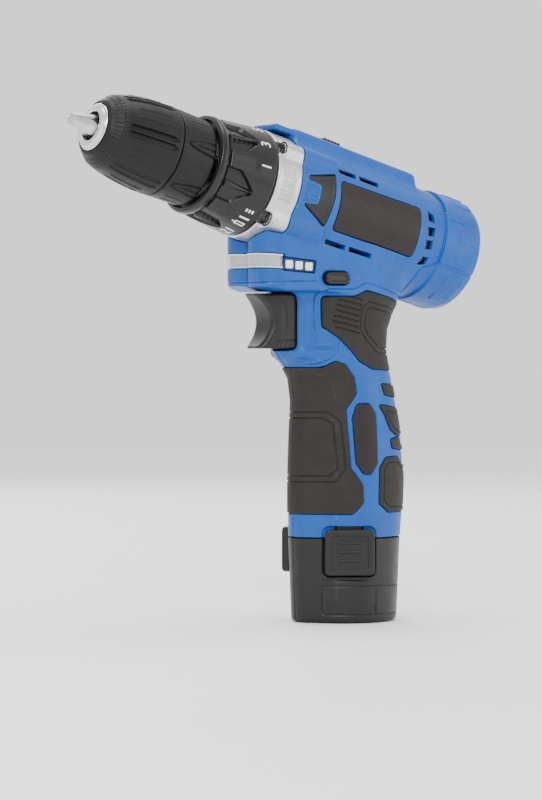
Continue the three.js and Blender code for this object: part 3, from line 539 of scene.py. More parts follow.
def outer_form(x, y, z):
    u, v = along(x, z), across(x, z)
    rho = np.hypot(y, v)
    barrel = polygon(rho, u, BARREL_PROFILE)
    section = rounded(y, v, [(-15, 14), (-8.5, 26.3), (8.5, 26.3), (15, 14)], 3)
    spine = common(section, strip(u, -25.6, BARREL_FRONT), 2.4)
    form = union(barrel, spine, 2.0)
    form = union(form, chin_field(x, y, z), 1.6)
    swell = both(lug_axes(y, v, 5.2), strip(u, 22, BARREL_FRONT))
    form = union(form, swell, 1.2)
    form = union(form, both(handle_field(x, y, z), z - 150), 5.0)
    cheeks = common(rectangle(x, y, -29.5, -11, 0, 11, 3.5), strip(z, 107, 136), 1.5)
    form = union(form, cheeks, 4.0)
    brow = rounded(y, v, [(-8.5, 23), (-7.5, 25.6), (7.5, 25.6), (8.5, 23)], 0.8)
    form = union(form, common(brow, strip(u, 37, 47.2), 1.2), 1.0)
    turn = np.degrees(np.arctan2(v, np.abs(y)))
    bars = any_of([np.abs(turn - a) - 5.4 * w for a, w in CAP_BARS]) * 0.4
    bars = common(both(bars, rho - 24.0), strip(u, -52.6, -43.4), 0.6)
    return union(form, bars, 0.4)


# ---------- pads on the handle ----------
FRONT_PAD = [
    (-40, 102.4), (-20, 102.4), (-16, 105), (-12, 103.5), (-8.4, 98.5), (-7.4, 92), (-11.5, 85.5),
    (-10.2, 62), (-5.8, 55.5), (-5.4, 48), (-9.4, 43.6), (-40, 43.6),
]
THUMB_PAD = [
    (-20, 131), (-8, 131), (-3, 133.5), (25, 128), (36, 119), (36, 100), (0, 102), (-6, 105), (-14, 114),
    (-20, 119),
]
PALM_PAD = [(-7.4, 88), (-2.2, 88), (0.6, 84), (1, 64), (-2, 59.6), (-5.4, 59.6), (-8.2, 64), (-9.2, 82)]
REAR_PADS = [
    [(4.6, 96), (36, 94), (36, 88), (6.4, 91.4)],
    [(2.2, 87.6), (36, 83.6), (36, 76), (13, 75), (8.6, 77.4), (5.2, 84)],
    [(8.6, 73.4), (14.6, 74.6), (17.6, 71.4), (36, 69.6), (36, 67), (16, 69.2), (9.4, 70)],
    [(5.4, 66.2), (13, 66.6), (18, 63), (36, 64), (36, 44.2), (6.4, 44.2), (1.6, 47.6), (2, 62)],
]
PAD_PROUD = 0.45
PAD_DEPTH = 0.7


def rear_pads(x, z):
    return any_of([rounded(x, z, points, 0.7) for points in REAR_PADS])


PADS = {
    "front_grip": lambda x, z: rounded(x, z, FRONT_PAD, 1.4),
    "thumb_grip": lambda x, z: rounded(x, z, THUMB_PAD, 1.2),
    "palm_insert": lambda x, z: rounded(x, z, PALM_PAD, 2.2),
    "rear_grip": rear_pads,
}


def pad_field(outline, proud=PAD_PROUD):
    """A pad lying in its pocket on the left side."""
    def field(x, y, z):
        base = handle_field(x, y, z)
        slab = both(base - proud, -PAD_DEPTH + 0.05 - base)
        slab = common(slab, outline(x, z), 0.7)
        return both(slab, y + SEAM + 0.05)
    return field


def front_grip(x, y, z):
    pad = pad_field(PADS["front_grip"])(x, y, z)
    floor = -(handle_field(x, y, z) - PAD_PROUD + 0.45)
    frame_line = [(-60, 84.5), (-17, 84.5), (-13.4, 80.5), (-12.2, 61.5), (-15.6, 56.5), (-60, 56.5)]
    inner = rounded(x, z, frame_line, 1.2)
    pad = cut(pad, line(inner, 0.3, floor), 0.25)
    return cut(pad, line(inner + 2.4, 0.3, floor), 0.25)


def thumb_grip(x, y, z):
    pad = pad_field(PADS["thumb_grip"])(x, y, z)
    floor = -(handle_field(x, y, z) - PAD_PROUD + 0.5)
    octagon = [
        (-1.5, 129), (30, 124), (40, 118), (40, 106), (4, 108.5), (-2.6, 113.5), (-5.6, 118), (-4.8, 126),
    ]
    shape = rounded(x, z, octagon, 1)
    pad = cut(pad, line(shape, 0.3, floor), 0.25)
    pad = cut(pad, line(shape + 2.2, 0.3, floor), 0.25)
    slope = math.radians(14)
    s = x * math.cos(slope) - z * math.sin(slope)
    t = x * math.sin(slope) + z * math.cos(slope)
    ribs = []
    for i in range(7):
        height = 111.3 + i * 2.25
        start = -45.5 + (1.5 if i in (0, 6) else 0)
        ribs.append(rectangle(s, t, start, height - 0.35, start + 10.4 - (i > 5) * 2, height + 0.35, 0.3))
    return cut(pad, both(any_of(ribs), floor - 0.1), 0.25)


def rear_grip(x, y, z):
    pad = pad_field(rear_pads)(x, y, z)
    floor = -(handle_field(x, y, z) - PAD_PROUD + 0.4)
    heel = inset(REAR_PADS[3], 2.2)
    pad = cut(pad, line(rounded(x, z, heel, 0.8), 0.28, floor), 0.2)
    return cut(pad, line(rounded(x, z, inset(REAR_PADS[1], 2), 0.6), 0.28, floor), 0.2)


# ---------- panels on the barrel ----------
SIDE_PLATE = [(18.8, 9.4), (-23, 10.3), (-23.2, -10.2), (18, -10.6)]
TRIM_INSERT = [(34.9, 6.6), (21.9, 10.9), (21.5, 2), (22.3, -10.7), (34.6, -5.4)]


def panel_field(outline, radius, low, high, rounding=0.5):
    def field(x, y, z):
        u, v = along(x, z), across(x, z)
        skin = strip(np.hypot(y, v), low, high)
        return both(common(skin, rounded(u, v, outline, radius), rounding), y)
    return field


def trim_tab(u, v):
    """The ribbed blue tab that stands into the trim insert's front edge."""
    return rounded(u, v, [(36.5, 4.6), (34, 4.6), (28.9, 4), (28.9, -3.2), (34, -4.4), (36.5, -4.4)], 0.5)


def trim_insert(x, y, z):
    u, v = along(x, z), across(x, z)
    rho = np.hypot(y, v)
    base = panel_field(TRIM_INSERT, 0.5, BARREL_R - 1.2, BARREL_R - 0.1)(x, y, z)
    rim = line(rounded(u, v, TRIM_INSERT, 0.5) + 0.9, 0.5, -(rho - BARREL_R + 1))
    lip = both(rim, rho - BARREL_R - 0.25)
    base = both(union(base, lip, 0.2), -trim_tab(u, v))
    return both(base, y)


# ---------- openings in the housing ----------
LENS_BAND = [(-60, 149), (-40.6, 147.4), (-41.5, 141.4), (-60, 142.4)]
GAUGE = [(-41.2, 146.2), (-26.3, 144.8), (-27, 140.2), (-41.9, 141.1)]
VENTS = [
    [(-26.8, 10.6), (-30.2, 9.3), (-30.5, 6.2), (-27.3, 6.7)],
    [(-27.1, 3.8), (-31, 4.4), (-30.8, 0.7), (-27.4, 0.2)],
    [(-26.9, -1.9), (-30.7, -1.1), (-31.2, -4.6), (-27.8, -5.2)],
    [(-28.4, -8.4), (-31.5, -7.9), (-31.3, -10.8), (-27.5, -11.9)],
]
SLOTS = [(10.4, 12.6, 19.3), (-1.5, 12.7, 8.6), (9, -16.5, 18.7), (-3.3, -16.4, 7.2)]
TOWER = [(-11.3, 0), (4.6, -9.2), (4.6, 9.2)]
LATCH_FACING = math.radians(120)
LATCH_FACE = 23.3
HOUSING_SCREWS = [(-38, 138.4, 10.5), (17, 130.5, 8), (10.5, 101.5, 11)]


def hull3(x, y, circles, r):
    """The outline round equal circles."""
    return polygon(x, y, circles) - r


def on_latch(x, y, side):
    """Across and outward coordinates on a latch's face."""
    a = -side * LATCH_FACING
    return -(x - 0.5) * math.sin(a) + y * math.cos(a), (x - 0.5) * math.cos(a) + y * math.sin(a)


def housing_hollows(x, y, z, u, v, rho):
    bore = both(rho - BORE_R, -54 - u)
    tower = both(hull3(x, y, TOWER, 10.4), strip(z, 10, 87))
    switch = both(rectangle(x, y, -20, -13, 13, 13, 1), strip(z, 89, 146))
    trigger = both(rectangle(z, y, 109.5, -8.5, 132.6, 8.5, 2.2), strip(x, -60, -17))
    case = both(np.minimum(rho - CASE_R - GAP, lug_axes(y, v, 4.9)), BARREL_FRONT - u)
    return any_of([bore, tower, switch, trigger, case])


def latch_recess(x, y, z):
    """The arch over a latch, and the slot that its tongue springs into."""
    found = []
    for side in (LEFT, RIGHT):
        s, out = on_latch(x, y, side)
        arch = both(rectangle(s, z, -10.8, 0, 10.8, 38.7, 3), LATCH_FACE - 4.2 - out)
        slot = both(rectangle(s, z, -5.7, 0, 5.7, 43, 1), strip(out, 15.9, 19.9))
        found += [arch, slot]
    return any_of(found)


def housing_details(x, y, z, u, v, rho, form):
    """Everything cut into the left and right shells' outer faces."""
    cuts = []
    for u0, v0, u1 in SLOTS:
        cuts.append(rectangle(u, v, u0, v0, u1, v0 + 1.9, 0.3))
    for points in VENTS:
        cuts.append(rounded(u, v, points, 0.35))
    sides = both(any_of(cuts), 12 - np.abs(y))
    plates = [
        both(rounded(u, v, SIDE_PLATE, 1.8) - 0.25, BARREL_R - 1.5 - rho),
        both(rounded(u, v, TRIM_INSERT, 0.6) - 0.25, BARREL_R - 1.5 - rho),
    ]
    plates = both(any_of(plates), 8 - np.abs(y))
    plates = both(plates, 0.25 - trim_tab(u, v))
    ribs = np.abs((u + 0.35 * v - 29.2) % 1.15 - 0.57) - 0.27
    ribs = both(both(ribs, trim_tab(u, v) + 0.5), both(22.1 - rho, 8 - np.abs(y)))
    plates = np.minimum(plates, ribs)
    joint = np.abs(u + 36.3) - np.where(v > 13, 0.8, 0.3)
    joint = both(joint, np.where(v > 13, 21.8, 22.2) - rho)
    joint = both(joint, -9.6 - v)
    ledge = both(np.abs(v + 9.8) - 0.28, both(u + 36.3, 23.1 - rho))
    crest = both(np.abs(v - 10.2) - 0.25, both(strip(u, -46, -37), 23.1 - rho))
    speed = both(rectangle(u, y, -3, -5.6, 24, 5.6, 1), 24.2 - v)
    lens = both(rounded(x, z, LENS_BAND, 0.5), -2.6 - chin_plan(x, y))
    button = rectangle(x, z, -23.3, 135.4, -10.8, 141, 2.75)
    seam = both(np.abs(y) - 0.32, -0.3 - form)
    return any_of([sides, plates, joint, ledge, crest, speed, lens, button, seam])


def housing_lines(x, y, z, u, v, rho, form):
    """Fine engraved contours that follow the pads."""
    floor = -(form + 0.5)
    thumb = PADS["thumb_grip"](x, z)
    contour = both(np.abs(thumb - 2.9) - 0.3, floor)
    contour = both(contour, 117 - z)
    guard = both(np.abs(np.hypot(x + 24.5, z - 114) - 10.5) - 0.3, floor)
    guard = both(guard, both(z - 117, -24.5 - x))
    skirt = [
        (-30.6, -12.6), (-36.8, -9), (-60, -9), (-60, -8.6), (-36.6, -8.5), (-30.2, -12.2), (-29.4, -27.3),
        (-29.8, -27.3),
    ]
    skirt = both(polygon(u, v, skirt) - 0.2, floor)
    chin_line = both(np.abs(z - 136.6 - (x + 40) * 0.03) - 0.2, floor)
    chin_line = both(chin_line, strip(x, -60, -26))
    return any_of([contour, guard, skirt, chin_line])


def housing_field(side):
    def field(x, y, z):
        u, v = along(x, z), across(x, z)
        rho = np.hypot(y, v)
        form = outer_form(x, y, z)
        shell = cut(form, housing_hollows(x, y, z, u, v, rho), 0.5)
        shell = both(shell, 34.2 - z)
        shell = cut(shell, latch_recess(x, y, z), 0.6)
        handle = handle_field(x, y, z)
        outlines = any_of([outline(x, z) for outline in PADS.values()])
        pocket = both(outlines - 0.22, -PAD_DEPTH - handle)
        shell = cut(shell, pocket, 0.4)
        shell = cut(shell, housing_details(x, y, z, u, v, rho, form), 0.4)
        shell = cut(shell, housing_lines(x, y, z, u, v, rho, form), 0.2)
        if side == LEFT:
            gauge = both(rounded(x, z, GAUGE, 0.5) - 0.3, -1.7 - chin_plan(x, y))
            shell = cut(shell, both(gauge, y + 8), 0.4)
        else:
            for sx, sz, depth in HOUSING_SCREWS:
                around_screw = np.hypot(x - sx, z - sz)
                shell = cut(shell, both(around_screw - 3.2, depth - 2.3 - y), 0.5)
                shell = both(shell, -both(around_screw - 2, -7 - y))
        return both(shell, side * y + SEAM)
    return field


SHELL_STEP = 0.42
FINE = 0.28

for side, word in ((LEFT, "left"), (RIGHT, "right")):
    sculpt(f"{word}_shell", housing_field(side), f"{word}_housing", SHELL_STEP, BLUE, "housing")

sculpt_pair("front_grip", front_grip, FINE, RUBBER)
sculpt_pair("thumb_grip", thumb_grip, FINE, RUBBER)
sculpt_pair("palm_insert", pad_field(PADS["palm_insert"], 0.3), FINE, PLATE)
sculpt_pair("rear_grip", rear_grip, FINE, RUBBER)
side_plate = panel_field(SIDE_PLATE, 1.8, BARREL_R - 1.2, BARREL_R + 0.1)
sculpt_pair("side_plate", side_plate, FINE, PLATE)
sculpt_pair("trim_insert", trim_insert, FINE, BLACK)


# ---------- turned pieces with relief ----------
def resampled(profile, spacing):
    """Points along a profile of (radius, station), corners kept."""
    points = [profile[0]]
    for (r0, u0), (r1, u1) in zip(profile, profile[1:]):
        count = max(1, round(math.hypot(r1 - r0, u1 - u0) / spacing))
        points += [(r0 + (r1 - r0) * i / count, u0 + (u1 - u0) * i / count) for i in range(1, count + 1)]
    return points


def softened(profile, radius):
    """Each corner of an open profile replaced by a short curve."""
    points = [profile[0]]
    for before, corner, after in zip(profile, profile[1:], profile[2:]):
        ends = []
        for other in (before, after):
            length = math.dist(corner, other)
            share = min(radius, length * 0.45) / length
            ends.append([c + (o - c) * share for c, o in zip(corner, other)])
        for t in (0, 0.33, 0.67, 1):
            points.append(tuple((1 - t) ** 2 * s + 2 * t * (1 - t) * c + t * t * e
                                for s, c, e in zip(ends[0], corner, ends[1])))
    return points + [profile[-1]]


def lathe(name, outer, inner, material, body, replaced, relief=None, segments=128, soft=0.4, spacing=0.45):
    """A ring turned about the barrel's axis. relief(u, angle in degrees) is added to the outer radius."""
    outside = resampled(softened(outer, soft), spacing)
    profile = np.array(outside + list(inner))
    turn = np.arange(segments) * 2 * math.pi / segments
    r = np.repeat(profile[:, 0:1], segments, 1)
    u = np.repeat(profile[:, 1:2], segments, 1)
    angle = np.repeat(turn[None, :], len(profile), 0)
    if relief:
        count = len(outside)
        r[:count] += relief(u[:count], np.degrees(angle[:count]))
    w, v = -np.cos(angle) * r, np.sin(angle) * r
    points = np.stack([-u * COS + v * SIN, w, BARREL_HEIGHT + u * SIN + v * COS], 2).reshape(-1, 3)
    rows = len(profile)
    i, j = np.meshgrid(np.arange(rows), np.arange(segments), indexing="ij")
    i2, j2 = (i + 1) % rows, (j + 1) % segments
    here, there = i * segments, i2 * segments
    quads = np.stack([here + j, here + j2, there + j2, there + j], 2).reshape(-1, 4)
    add_mesh(name, points, quads, material, body, replaced, sharp=40)


def fold(angle, count, offset=0.0):
    """The angle from the middle of the nearest of count equal sectors."""
    sector = 360 / count
    return (angle - offset + sector / 2) % sector - sector / 2


def smooth(value, low, high):
    t = np.clip((value - low) / (high - low), 0, 1)
    return t * t * (3 - 2 * t)


def collar_relief(u, angle):
    """Six wedge ridges with a pocket on each side, and a flat panel between neighbouring pockets."""
    t = np.abs(fold(angle, 6, 38))
    ridge = 3.6 * np.clip((u - 59) / 13, 0, 1)
    panel = np.where(u > 66, 20, 3 + (u - 59.5) / 6.5 * 17)
    room = np.minimum(panel - t, t - ridge) * 0.37
    pocket = 1.5 * smooth(room, 0, 0.55) * (u > 59.5) * (u < 72.2)
    crest = 0.35 * np.clip(1 - t / np.maximum(ridge, 0.01), 0, 1) * (u > 59) * (u < 72.2)
    flat = 0.2 * smooth(t, 21, 30) * smooth(u, 58.5, 61) * (u < 72.2)
    return crest - pocket - flat


def front_relief(u, angle):
    """Six pairs of flutes, deepest at their upper edges, with a thin ridge on each side."""
    t = fold(angle, 6, 1)
    q = np.where(t > 0, t - 5.1, t + 5.1)
    wall = 1 - smooth(np.abs(q), 3.3, 4.2)
    floor = 0.45 + 0.6 * (q + 4.2) / 8.4
    span = smooth(u - 94.7 - np.abs(q) * 0.5, 0, 0.8) * (1 - smooth(u + np.abs(q) * 0.2, 116.4, 117.3))
    ridge = (1 - smooth(np.abs(np.abs(t) - 23), 0.5, 1.3)) * smooth(u, 97.5, 98.6) * (1 - smooth(u, 112.6, 114))
    dots = fold(angle, 48, 0)
    row = np.abs((u - 117.9) % 1.4 - 0.7)
    dot = (1 - smooth(np.hypot(dots * 0.24, row), 0.25, 0.5)) * (u > 117.9) * (u < 122.1)
    return -wall * floor * span + 0.3 * ridge - 0.3 * dot


def rear_relief(u, angle):
    """Six pointed arches open to the rear, each with a groove up its middle."""
    t = fold(angle, 6, 10)
    a = np.abs(t) * 0.31
    half = 2.7 * np.sqrt(np.clip((90.6 - u) / 12, 0, 1))
    outline = (1 - smooth(np.abs(a - half), 0.25, 0.6)) * (u < 90.9)
    middle = (1 - smooth(a, 0.2, 0.5)) * (1 - smooth(u, 86, 87.5))
    line_up = (1 - smooth(np.abs(np.abs(t) - 24), 0.5, 1.3)) * smooth(u, 80, 81) * (1 - smooth(u, 88, 89))
    return -0.6 * outline - 0.45 * middle - 0.12 * (a < half) + 0.2 * line_up


lathe(
    "collar_shell",
    [(17.4, 50.6), (21.4, 50.6), (22.3, 51.6), (22.2, 52.4), (20.9, 64), (20.1, 71.4), (18.6, 72.1), (18.6, 72.8),
     (19.9, 73.2), (20.3, 74.6), (19.9, 76.2), (18.4, 76.6)],
    [(18.4, 73.5), (13.4, 73.5), (13.4, 70.6), (17.4, 70.4)],
    GLOSS, "torque_collar", ["torque_collar"], collar_relief, segments=600,
)
lathe(
    "front_sleeve_shell",
    [(16.1, 93.3), (17.7, 93.3), (18.05, 94), (17.7, 101), (17.15, 107), (16.1, 113.4), (15.3, 116.6), (14.3, 119.4),
     (10.9, 123.3), (9.8, 123.6)],
    [(9.8, 121), (12.6, 117), (14.6, 112), (16.1, 104)],
    SLEEVE, "chuck_sleeve", ["chuck_front_sleeve"], front_relief, segments=720,
)
lathe(
    "rear_sleeve_shell",
    [(16.1, 77.3), (17.2, 77.3), (17.75, 78.4), (17.9, 92.4), (17.5, 92.9), (16.1, 92.9)],
    [(16.1, 84), (11.3, 83.5), (11.3, 81.5), (16.1, 81)],
    SLEEVE, "chuck", ["chuck_rear_sleeve"], rear_relief, segments=720,
)
lathe(
    "nose_ring_face",
    [(5.9, 121), (9.4, 121), (9.45, 123.9), (9.1, 124.3), (8.5, 124.35), (8.35, 124.7), (8.3, 125.3), (7.9, 125.5),
     (6.3, 125.5), (5.9, 125.1)],
    [(5.9, 123)],
    BRIGHT, "chuck", ["chuck_nose_ring"], soft=0.12, spacing=0.3,
)


# ---------- printing on the collar ----------
def collar_print(outlines):
    """Flat shapes given as (vertices, faces) in millimetres round and along the collar, wrapped on to it."""
    points, faces = [], []
    for turn, verts, flat_faces in outlines:
        start = len(points)
        for across_mm, along_mm, lift in verts:
            u = 56.1 + along_mm
            r = 22.25 - (u - 52) * 0.108 + lift
            angle = math.radians(turn) + across_mm / 21.8
            points.append(barrel_point(-math.cos(angle) * r, u, math.sin(angle) * r))
        faces += [[start + i for i in face] for face in flat_faces]
    add_mesh("collar_numbers", points, faces, WHITE, "torque_collar", sharp=30)


def glyphs(text, size):
    curve = bpy.data.curves.new("numeral", "FONT")
    curve.body = text
    curve.size = size
    curve.align_x = "CENTER"
    curve.extrude = 0.1
    curve.resolution_u = 5
    holder = bpy.data.objects.new("numeral", curve)
    mesh = holder.to_mesh()
    height = max(v.co.y for v in mesh.vertices)
    verts = [(v.co.x, v.co.y - height / 2, v.co.z) for v in mesh.vertices]
    flat_faces = [list(p.vertices) for p in mesh.polygons]
    holder.to_mesh_clear()
    bpy.data.objects.remove(holder)
    bpy.data.curves.remove(curve)
    return verts, flat_faces


def stroke(x0, y0, x1, y1):
    """A short printed bar."""
    corners = [(x, y, lift) for lift in (-0.1, 0.1) for x, y in ((x0, y0), (x1, y0), (x1, y1), (x0, y1))]
    return corners, [[3, 2, 1, 0], [4, 5, 6, 7], [0, 1, 5, 4], [1, 2, 6, 5], [2, 3, 7, 6], [3, 0, 4, 7]]


def barrel_point(w, u, v):
    return Vector((0, w, BARREL_HEIGHT)) + NOSE * u + ACROSS * v


marks = [(10 + 27 * i, *glyphs(str(2 * i + 1), 6.2)) for i in range(11)]
marks += [(-51, *stroke(-0.4, -2.2, 0.4, 2.2))]
marks += [(-41, *stroke(-0.7, offset - 0.35, 0.7, offset + 0.35)) for offset in (-1.4, 0, 1.4)]
DRILL_MARK = [
    (-1, -2.2, -0.5, 2.2), (0.5, -2.2, 1, 2.2), (-0.5, 1.7, 0.5, 2.2), (-0.5, -2.2, 0.5, -1.7), (-0.3, 2.6, 0.3, 3.4),
]
marks += [(-60, *stroke(*bar)) for bar in DRILL_MARK]
collar_print(marks)


# ---------- jaws ----------
JAW_TIP = 134.5
JAW_SLOPE = math.radians(15)


def jaw_field(turn):
    lean = math.tan(JAW_SLOPE)

    def field(x, y, z):
        u, v = along(x, z), across(x, z)
        r = y * math.cos(turn) + v * math.sin(turn)
        side = -y * math.sin(turn) + v * math.cos(turn)
        centre = -0.1 + (JAW_TIP - u) * lean
        bar = np.hypot((r - centre) * math.cos(JAW_SLOPE), side) - 3
        sector = np.abs(side) - (r - 0.16) * math.tan(math.radians(60))
        sector = sector * math.cos(math.radians(60))
        cone = (np.hypot(y, v) - 2.2 - (JAW_TIP - u) * 0.25) * 0.97
        body = common(common(bar, sector, 0.2), both(cone, u - JAW_TIP), 0.5)
        threads = np.abs((u - 100) % 1.4 - 0.7) * 0.8 - 0.3 + np.maximum(0, centre + 1.4 - r)
        body = both(body, -both(threads, u - 116))
        return both(body, 105.6 - u)
    return field


for i, degrees in enumerate((90, 210, 330), 1):
    sculpt(f"jaw_{i}_steel", jaw_field(math.radians(degrees)), f"chuck_jaw_{i}", FINE * 0.8, STEEL,
           f"jaw_{i}", margin=0.6)


# ---------- gear case ----------
def gear_case(x, y, z):
    u, v = along(x, z), across(x, z)
    rho = np.hypot(y, v)
    body = polygon(rho, u, [(19.7, 9), (19.7, 38.7), (22.3, 38.7), (22.45, 40), (22.3, 49.8), (21.9, 50.2),
                            (12.8, 50.2), (12.8, 70), (8, 70), (8, 34), (18.7, 34), (18.7, 9)])
    lugs = both(lug_axes(y, v, 4.6), strip(u, 38.7, 47.2))
    body = union(body, lugs, 1.4)
    heads = both(lug_axes(y, v, 3.2, SCREW_REACH), 44.7 - u)
    holes = lug_axes(y, v, 2.0, SCREW_REACH)
    body = both(cut(body, heads, 0.6), -holes)
    angle = np.degrees(np.arctan2(v, np.abs(y)))
    comb = rectangle(u, np.abs((angle + 20) % 4.6 - 2.3) * 0.39, 41.6, -0.5, 47.6, 0.5, 0.3)
    comb = both(comb, both(21.75 - rho, np.abs(angle) - 18.4))
    return cut(body, comb, 0.3)


sculpt("gear_case_casting", gear_case, "gear_case", FINE * 1.2, CAST, "housing")


# ---------- screws ----------
def screw_mesh(length, head_r, head_depth):
    """A pan head with a six-lobed socket and a plain shank, head up along +Z from its top."""
    def field(x, y, z):
        r = np.hypot(x, y)
        head = common(r - head_r, strip(z, -head_depth, 0), 0.5)
        lobes = 1.25 + 0.22 * np.cos(np.arctan2(y, x) * 6)
        socket = both(r - lobes, -1.3 - z)
        shank = both(r - 1.7 + 0.12 * (np.abs((z / 0.8) % 1 - 0.5) * 2), strip(z, -length, 0))
        return cut(np.minimum(head, shank), socket, 0.2)
    return surface(field, (-head_r - 1, -head_r - 1, -length - 1), (head_r + 1, head_r + 1, 1), 0.25)


def place_screws(shape, places, direction, nodes):
    points, faces = shape
    turn = np.array(Vector((0, 0, 1)).rotation_difference(direction).to_matrix())
    for place, node in zip(places, nodes):
        moved = points @ turn.T + np.array(place)
        add_mesh(f"{node}_steel", moved, faces, DARK_STEEL, "housing", [node])


case_places = [barrel_point(math.cos(a) * SCREW_REACH, 47.6, math.sin(a) * SCREW_REACH) for a in LUG_ANGLES]
place_screws(screw_mesh(14, 2.9, 2.4), case_places, NOSE, [f"gear_case_screw_{i}" for i in range(1, 5)])
housing_places = [Vector((x, depth, z)) for x, z, depth in HOUSING_SCREWS]
housing_nodes = [f"housing_screw_{i}" for i in range(1, 4)]
place_screws(screw_mesh(14, 2.9, 2), housing_places, Vector((0, 1, 0)), housing_nodes)


# ---------- light and gauge ----------
def lens_window(x, y, z):
    band = rounded(x, z, inset(LENS_BAND, 0.3), 0.5)
    skin = strip(chin_plan(x, y), -0.9, 0.1)
    return common(common(band, skin, 0.4), x + 42.2, 0.5)


def lens_bowl(x, y, z):
    """The bright reflector behind the window, with a rim round it and posts behind the band; the three lamps in it
    are a separate piece.
    """
    band = rounded(x, z, inset(LENS_BAND, 0.3), 0.5)
    plan = chin_plan(x, y)
    back = both(band, strip(plan, -2.5, -1.8))
    rim = both(np.abs(band + 0.35) - 0.32, strip(plan, -2.5, 0.35))
    behind = strip(plan, -2.5, -1.1)
    posts = any_of([both(np.abs(y - p) - 0.4, behind) for p in (-11.5, -8, 0, 8, 11.5)])
    bowl = np.minimum(np.minimum(back, rim), both(posts, band))
    return both(bowl, x + 42.2)


def lamps(x, y, z):
    """Three round lamps round the corner of the chin."""
    places = [(-48.1, 0), (-45.6, -9.6), (-45.6, 9.6)]
    balls = [np.sqrt((x - px) ** 2 + (y - py) ** 2 + (z - 145.2) ** 2) - 1.5 for px, py in places]
    return both(any_of(balls), chin_plan(x, y) + 1.0)


sculpt("lens_window", lens_window, "light_lens", FINE, CLEAR, "housing")
sculpt("lens_reflector", lens_bowl, "light_lens", FINE * 0.8, SILVER, "housing", stands_for=False)
sculpt("lens_lamps", lamps, "light_lens", FINE * 0.8, WHITE, "housing", stands_for=False)


def gauge_field(x, y, z):
    plan = chin_plan(x, y)
    return both(both(rounded(x, z, GAUGE, 0.4), strip(plan, -1.6, -0.7)), y + 8)


def gauge_lights(x, y, z):
    """Three square charge lights standing out of the gauge's floor."""
    squares = []
    for x0, x1 in ((-40.4, -37.2), (-35.8, -32.6), (-31.2, -28)):
        middle = 143.5 - (x0 + 41.5) * 0.08
        squares.append(rectangle(x, z, x0, middle - 1.6, x1, middle + 1.6, 0.5))
    lit = common(any_of(squares), strip(chin_plan(x, y), -1.2, -0.1), 0.3)
    return both(lit, y + 8)


sculpt("charge_gauge_window", gauge_field, "charge_gauge", FINE, NIGHT, "housing", margin=3)
sculpt("charge_gauge_lights", gauge_lights, "charge_gauge", FINE * 0.8, WHITE, "housing",
       stands_for=False, margin=3)


# ---------- controls ----------
def trigger_field(x, y, z):
    front = -46.9 + 7.4 * (1 - ((z - 120.6) / 11.4) ** 2)
    front = np.where(z < 113.2, np.minimum(front, -43.1 + (110 - z) * -0.15), front)
    side = both(front - x, x + 21)
    half = np.interp(x, [-47, -42, -36, -30, -20], [4.2, 6.0, 7.2, 7.9, 7.9])
    body = common(common(side * 0.9, np.abs(y) - half, 2.2), strip(z, 110.1, 132.1), 1.2)
    crease = np.abs(x + 36.4 - 3.4 * (1 - ((z - 121) / 11) ** 2)) - 0.25
    crease = both(crease, half - 0.35 - np.abs(y))
    lip = both(np.abs(z - 113.4) - 0.22, half - 0.3 - np.abs(y))
    lip = both(lip, -38 - x)
    return cut(body, np.minimum(crease, lip), 0.35)


sculpt("trigger_blade", trigger_field, "trigger", FINE, BLACK, "trigger")


def button_field(x, y, z):
    shape = rectangle(x, z, -22.9, 135.8, -11.2, 140.6, 2.35)
    body = common(shape, np.abs(y) - 20.5, 0.9)
    dish = both(rectangle(x, z, -21.4, 137, -12.7, 139.4, 1.15), 19.9 - np.abs(y))
    return cut(body, dish, 0.5)


sculpt("direction_button_cap", button_field, "direction_button", FINE, BLACK, "direction_button")


def selector_field(x, y, z):
    u, v = along(x, z), across(x, z)
    plate = common(rectangle(u, y, 9, -5.1, 23, 5.1, 0.8), strip(v, 24.6, 26.1), 0.3)
    knob = common(polygon(u, v, [(11, 25.5), (21, 25.5), (20, 28.2), (12, 28.2)]), np.abs(y) - 4.4, 0.8)
    grooves = both(np.abs((u - 12.6) % 1.7 - 0.85) - 0.35, both(27.5 - v, strip(u, 12.6, 19.4)))
    return cut(union(plate, knob, 0.4), grooves, 0.2)


sculpt("speed_selector_knob", selector_field, "speed_selector", FINE, BLACK, "speed_selector")


# ---------- battery ----------
CUP_SIZE = np.array([[0, 0.915], [0.5, 0.93], [1.2, 0.939], [2.4, 0.945], [4, 0.95], [CUP_TOP, 1]])  # height, size


def cup_form(x, y, z):
    size = np.interp(z, CUP_SIZE[:, 0], CUP_SIZE[:, 1])
    front, rear, half = -25.0, 23.2, 22.5
    deep = (rear - front) / 2
    px = (x - (front + rear) / 2) / (deep * size)
    py = np.abs(y) / (half * size) * EGG_HALF
    return egg(px, py) * (deep + half) / 2 * size


def battery_field(x, y, z):
    cup = cup_form(x, y, z)
    body = common(cup, strip(z, 0, CUP_TOP), 0.6)
    body = both(body, -both(hull3(x, y, TOWER, 10.4), 4 - z))
    for side in (LEFT, RIGHT):
        s, out = on_latch(x, y, side)
        pocket = both(rectangle(s, z, -10.6, 18.4, 10.6, 50, 2.2), 16.6 - out)
        scoop = both(rectangle(s, z, -13.4, 17, 13.4, 50, 4), 20.6 - out)
        body = cut(body, np.minimum(pocket, scoop), 0.8)
        label = rectangle(s, z, -11, 3, 11, 14.6, 1.2)
        body = cut(body, both(np.abs(label) - 0.25, -(cup + 0.35)), 0.2)
    seam = both(np.abs(y) - 0.25, both(-(cup + 0.3), x + 10))
    return cut(body, seam, 0.2)


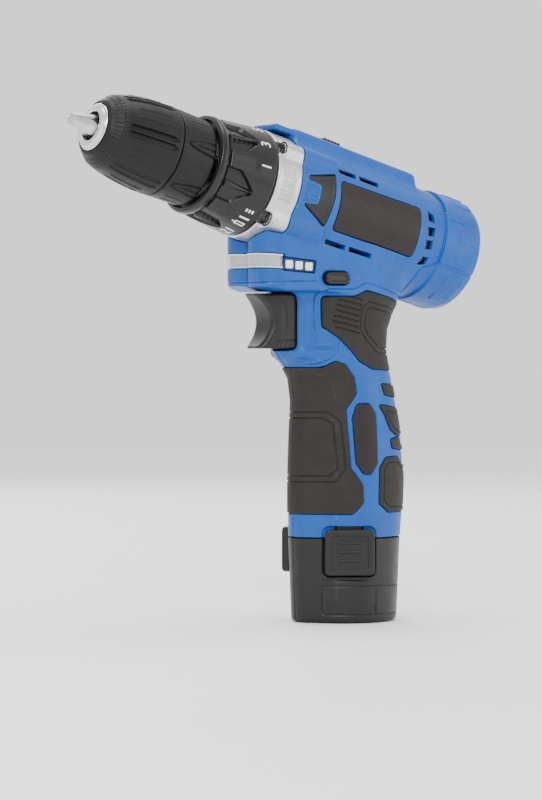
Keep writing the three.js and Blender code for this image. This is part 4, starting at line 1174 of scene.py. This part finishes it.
def tower_field(x, y, z):
    shell = common(hull3(x, y, TOWER, 10.1), strip(z, 4.4, 85), 1.4)
    shell = both(shell, -both(hull3(x, y, TOWER, 9.5), z - 83.8))
    for side in (LEFT, RIGHT):
        s, out = on_latch(x, y, side)
        for offset in (-4, 0, 4):
            window = both(rectangle(s, z, offset - 1.1, 72, offset + 1.1, 82, 0.6), 8 - out)
            shell = cut(shell, window, 0.3)
    rails = both(np.abs(np.abs(y) - 6) - 0.7, both(13.9 - x, strip(z, 20, 60)))
    return cut(shell, rails, 0.2)


sculpt("battery_cup", battery_field, "battery_base", FINE * 1.2, BLACK, "battery")
sculpt("battery_sleeve", tower_field, "battery_tower", FINE * 1.2, BLACK, "battery")


def latch_field(side):
    def field(x, y, z):
        s, out = on_latch(x, y, side)
        plate = common(rectangle(s, z, -10, 19, 10, 37.4, 2), strip(out, 19.7, LATCH_FACE), 0.8)
        tongue = both(rectangle(s, z, -5, 34, 5, 42, 0.6), strip(out, 18.2, 19.7))
        face = rectangle(s, z, -7.6, 21.4, 7.6, 35, 1.2)
        recess = both(face, LATCH_FACE - 0.6 - out)
        body = cut(np.minimum(plate, tongue), recess, 0.3)
        bars = [rectangle(s, z, -4.4, h - 0.55, 4.4, h + 0.55, 0.4) for h in (25, 28.6, 32.2)]
        bars = both(any_of(bars), strip(out, LATCH_FACE - 1, LATCH_FACE - 0.05))
        return union(body, bars, 0.2)
    return field


for side, word in ((LEFT, "left"), (RIGHT, "right")):
    sculpt(f"latch_{word}_plate", latch_field(side), f"latch_{word}", FINE, BLACK, f"latch_{word}")

# ---------- materials of the pieces that stay as they are ----------
CARRIED = {
    "ring_gear": STEEL, "spindle_bearing": STEEL, "motor_can": STEEL, "motor_end_cap": BLACK,
    "switch_body": BLACK, "terminal_block": BLACK, "clutch_spring": STEEL, "motor_shaft": STEEL, "armature": COPPER,
    "first_carrier": STEEL, "spindle": STEEL, "chuck_body": DARK_STEEL, "clutch_nut": STEEL, "cell_pack": WRAP,
    **{f"{stage}_planet_{i}": STEEL for stage in ("first", "second") for i in (1, 2, 3)},
}
for node, material in CARRIED.items():
    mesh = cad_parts[node].data
    mesh.materials.clear()
    mesh.materials.append(material)
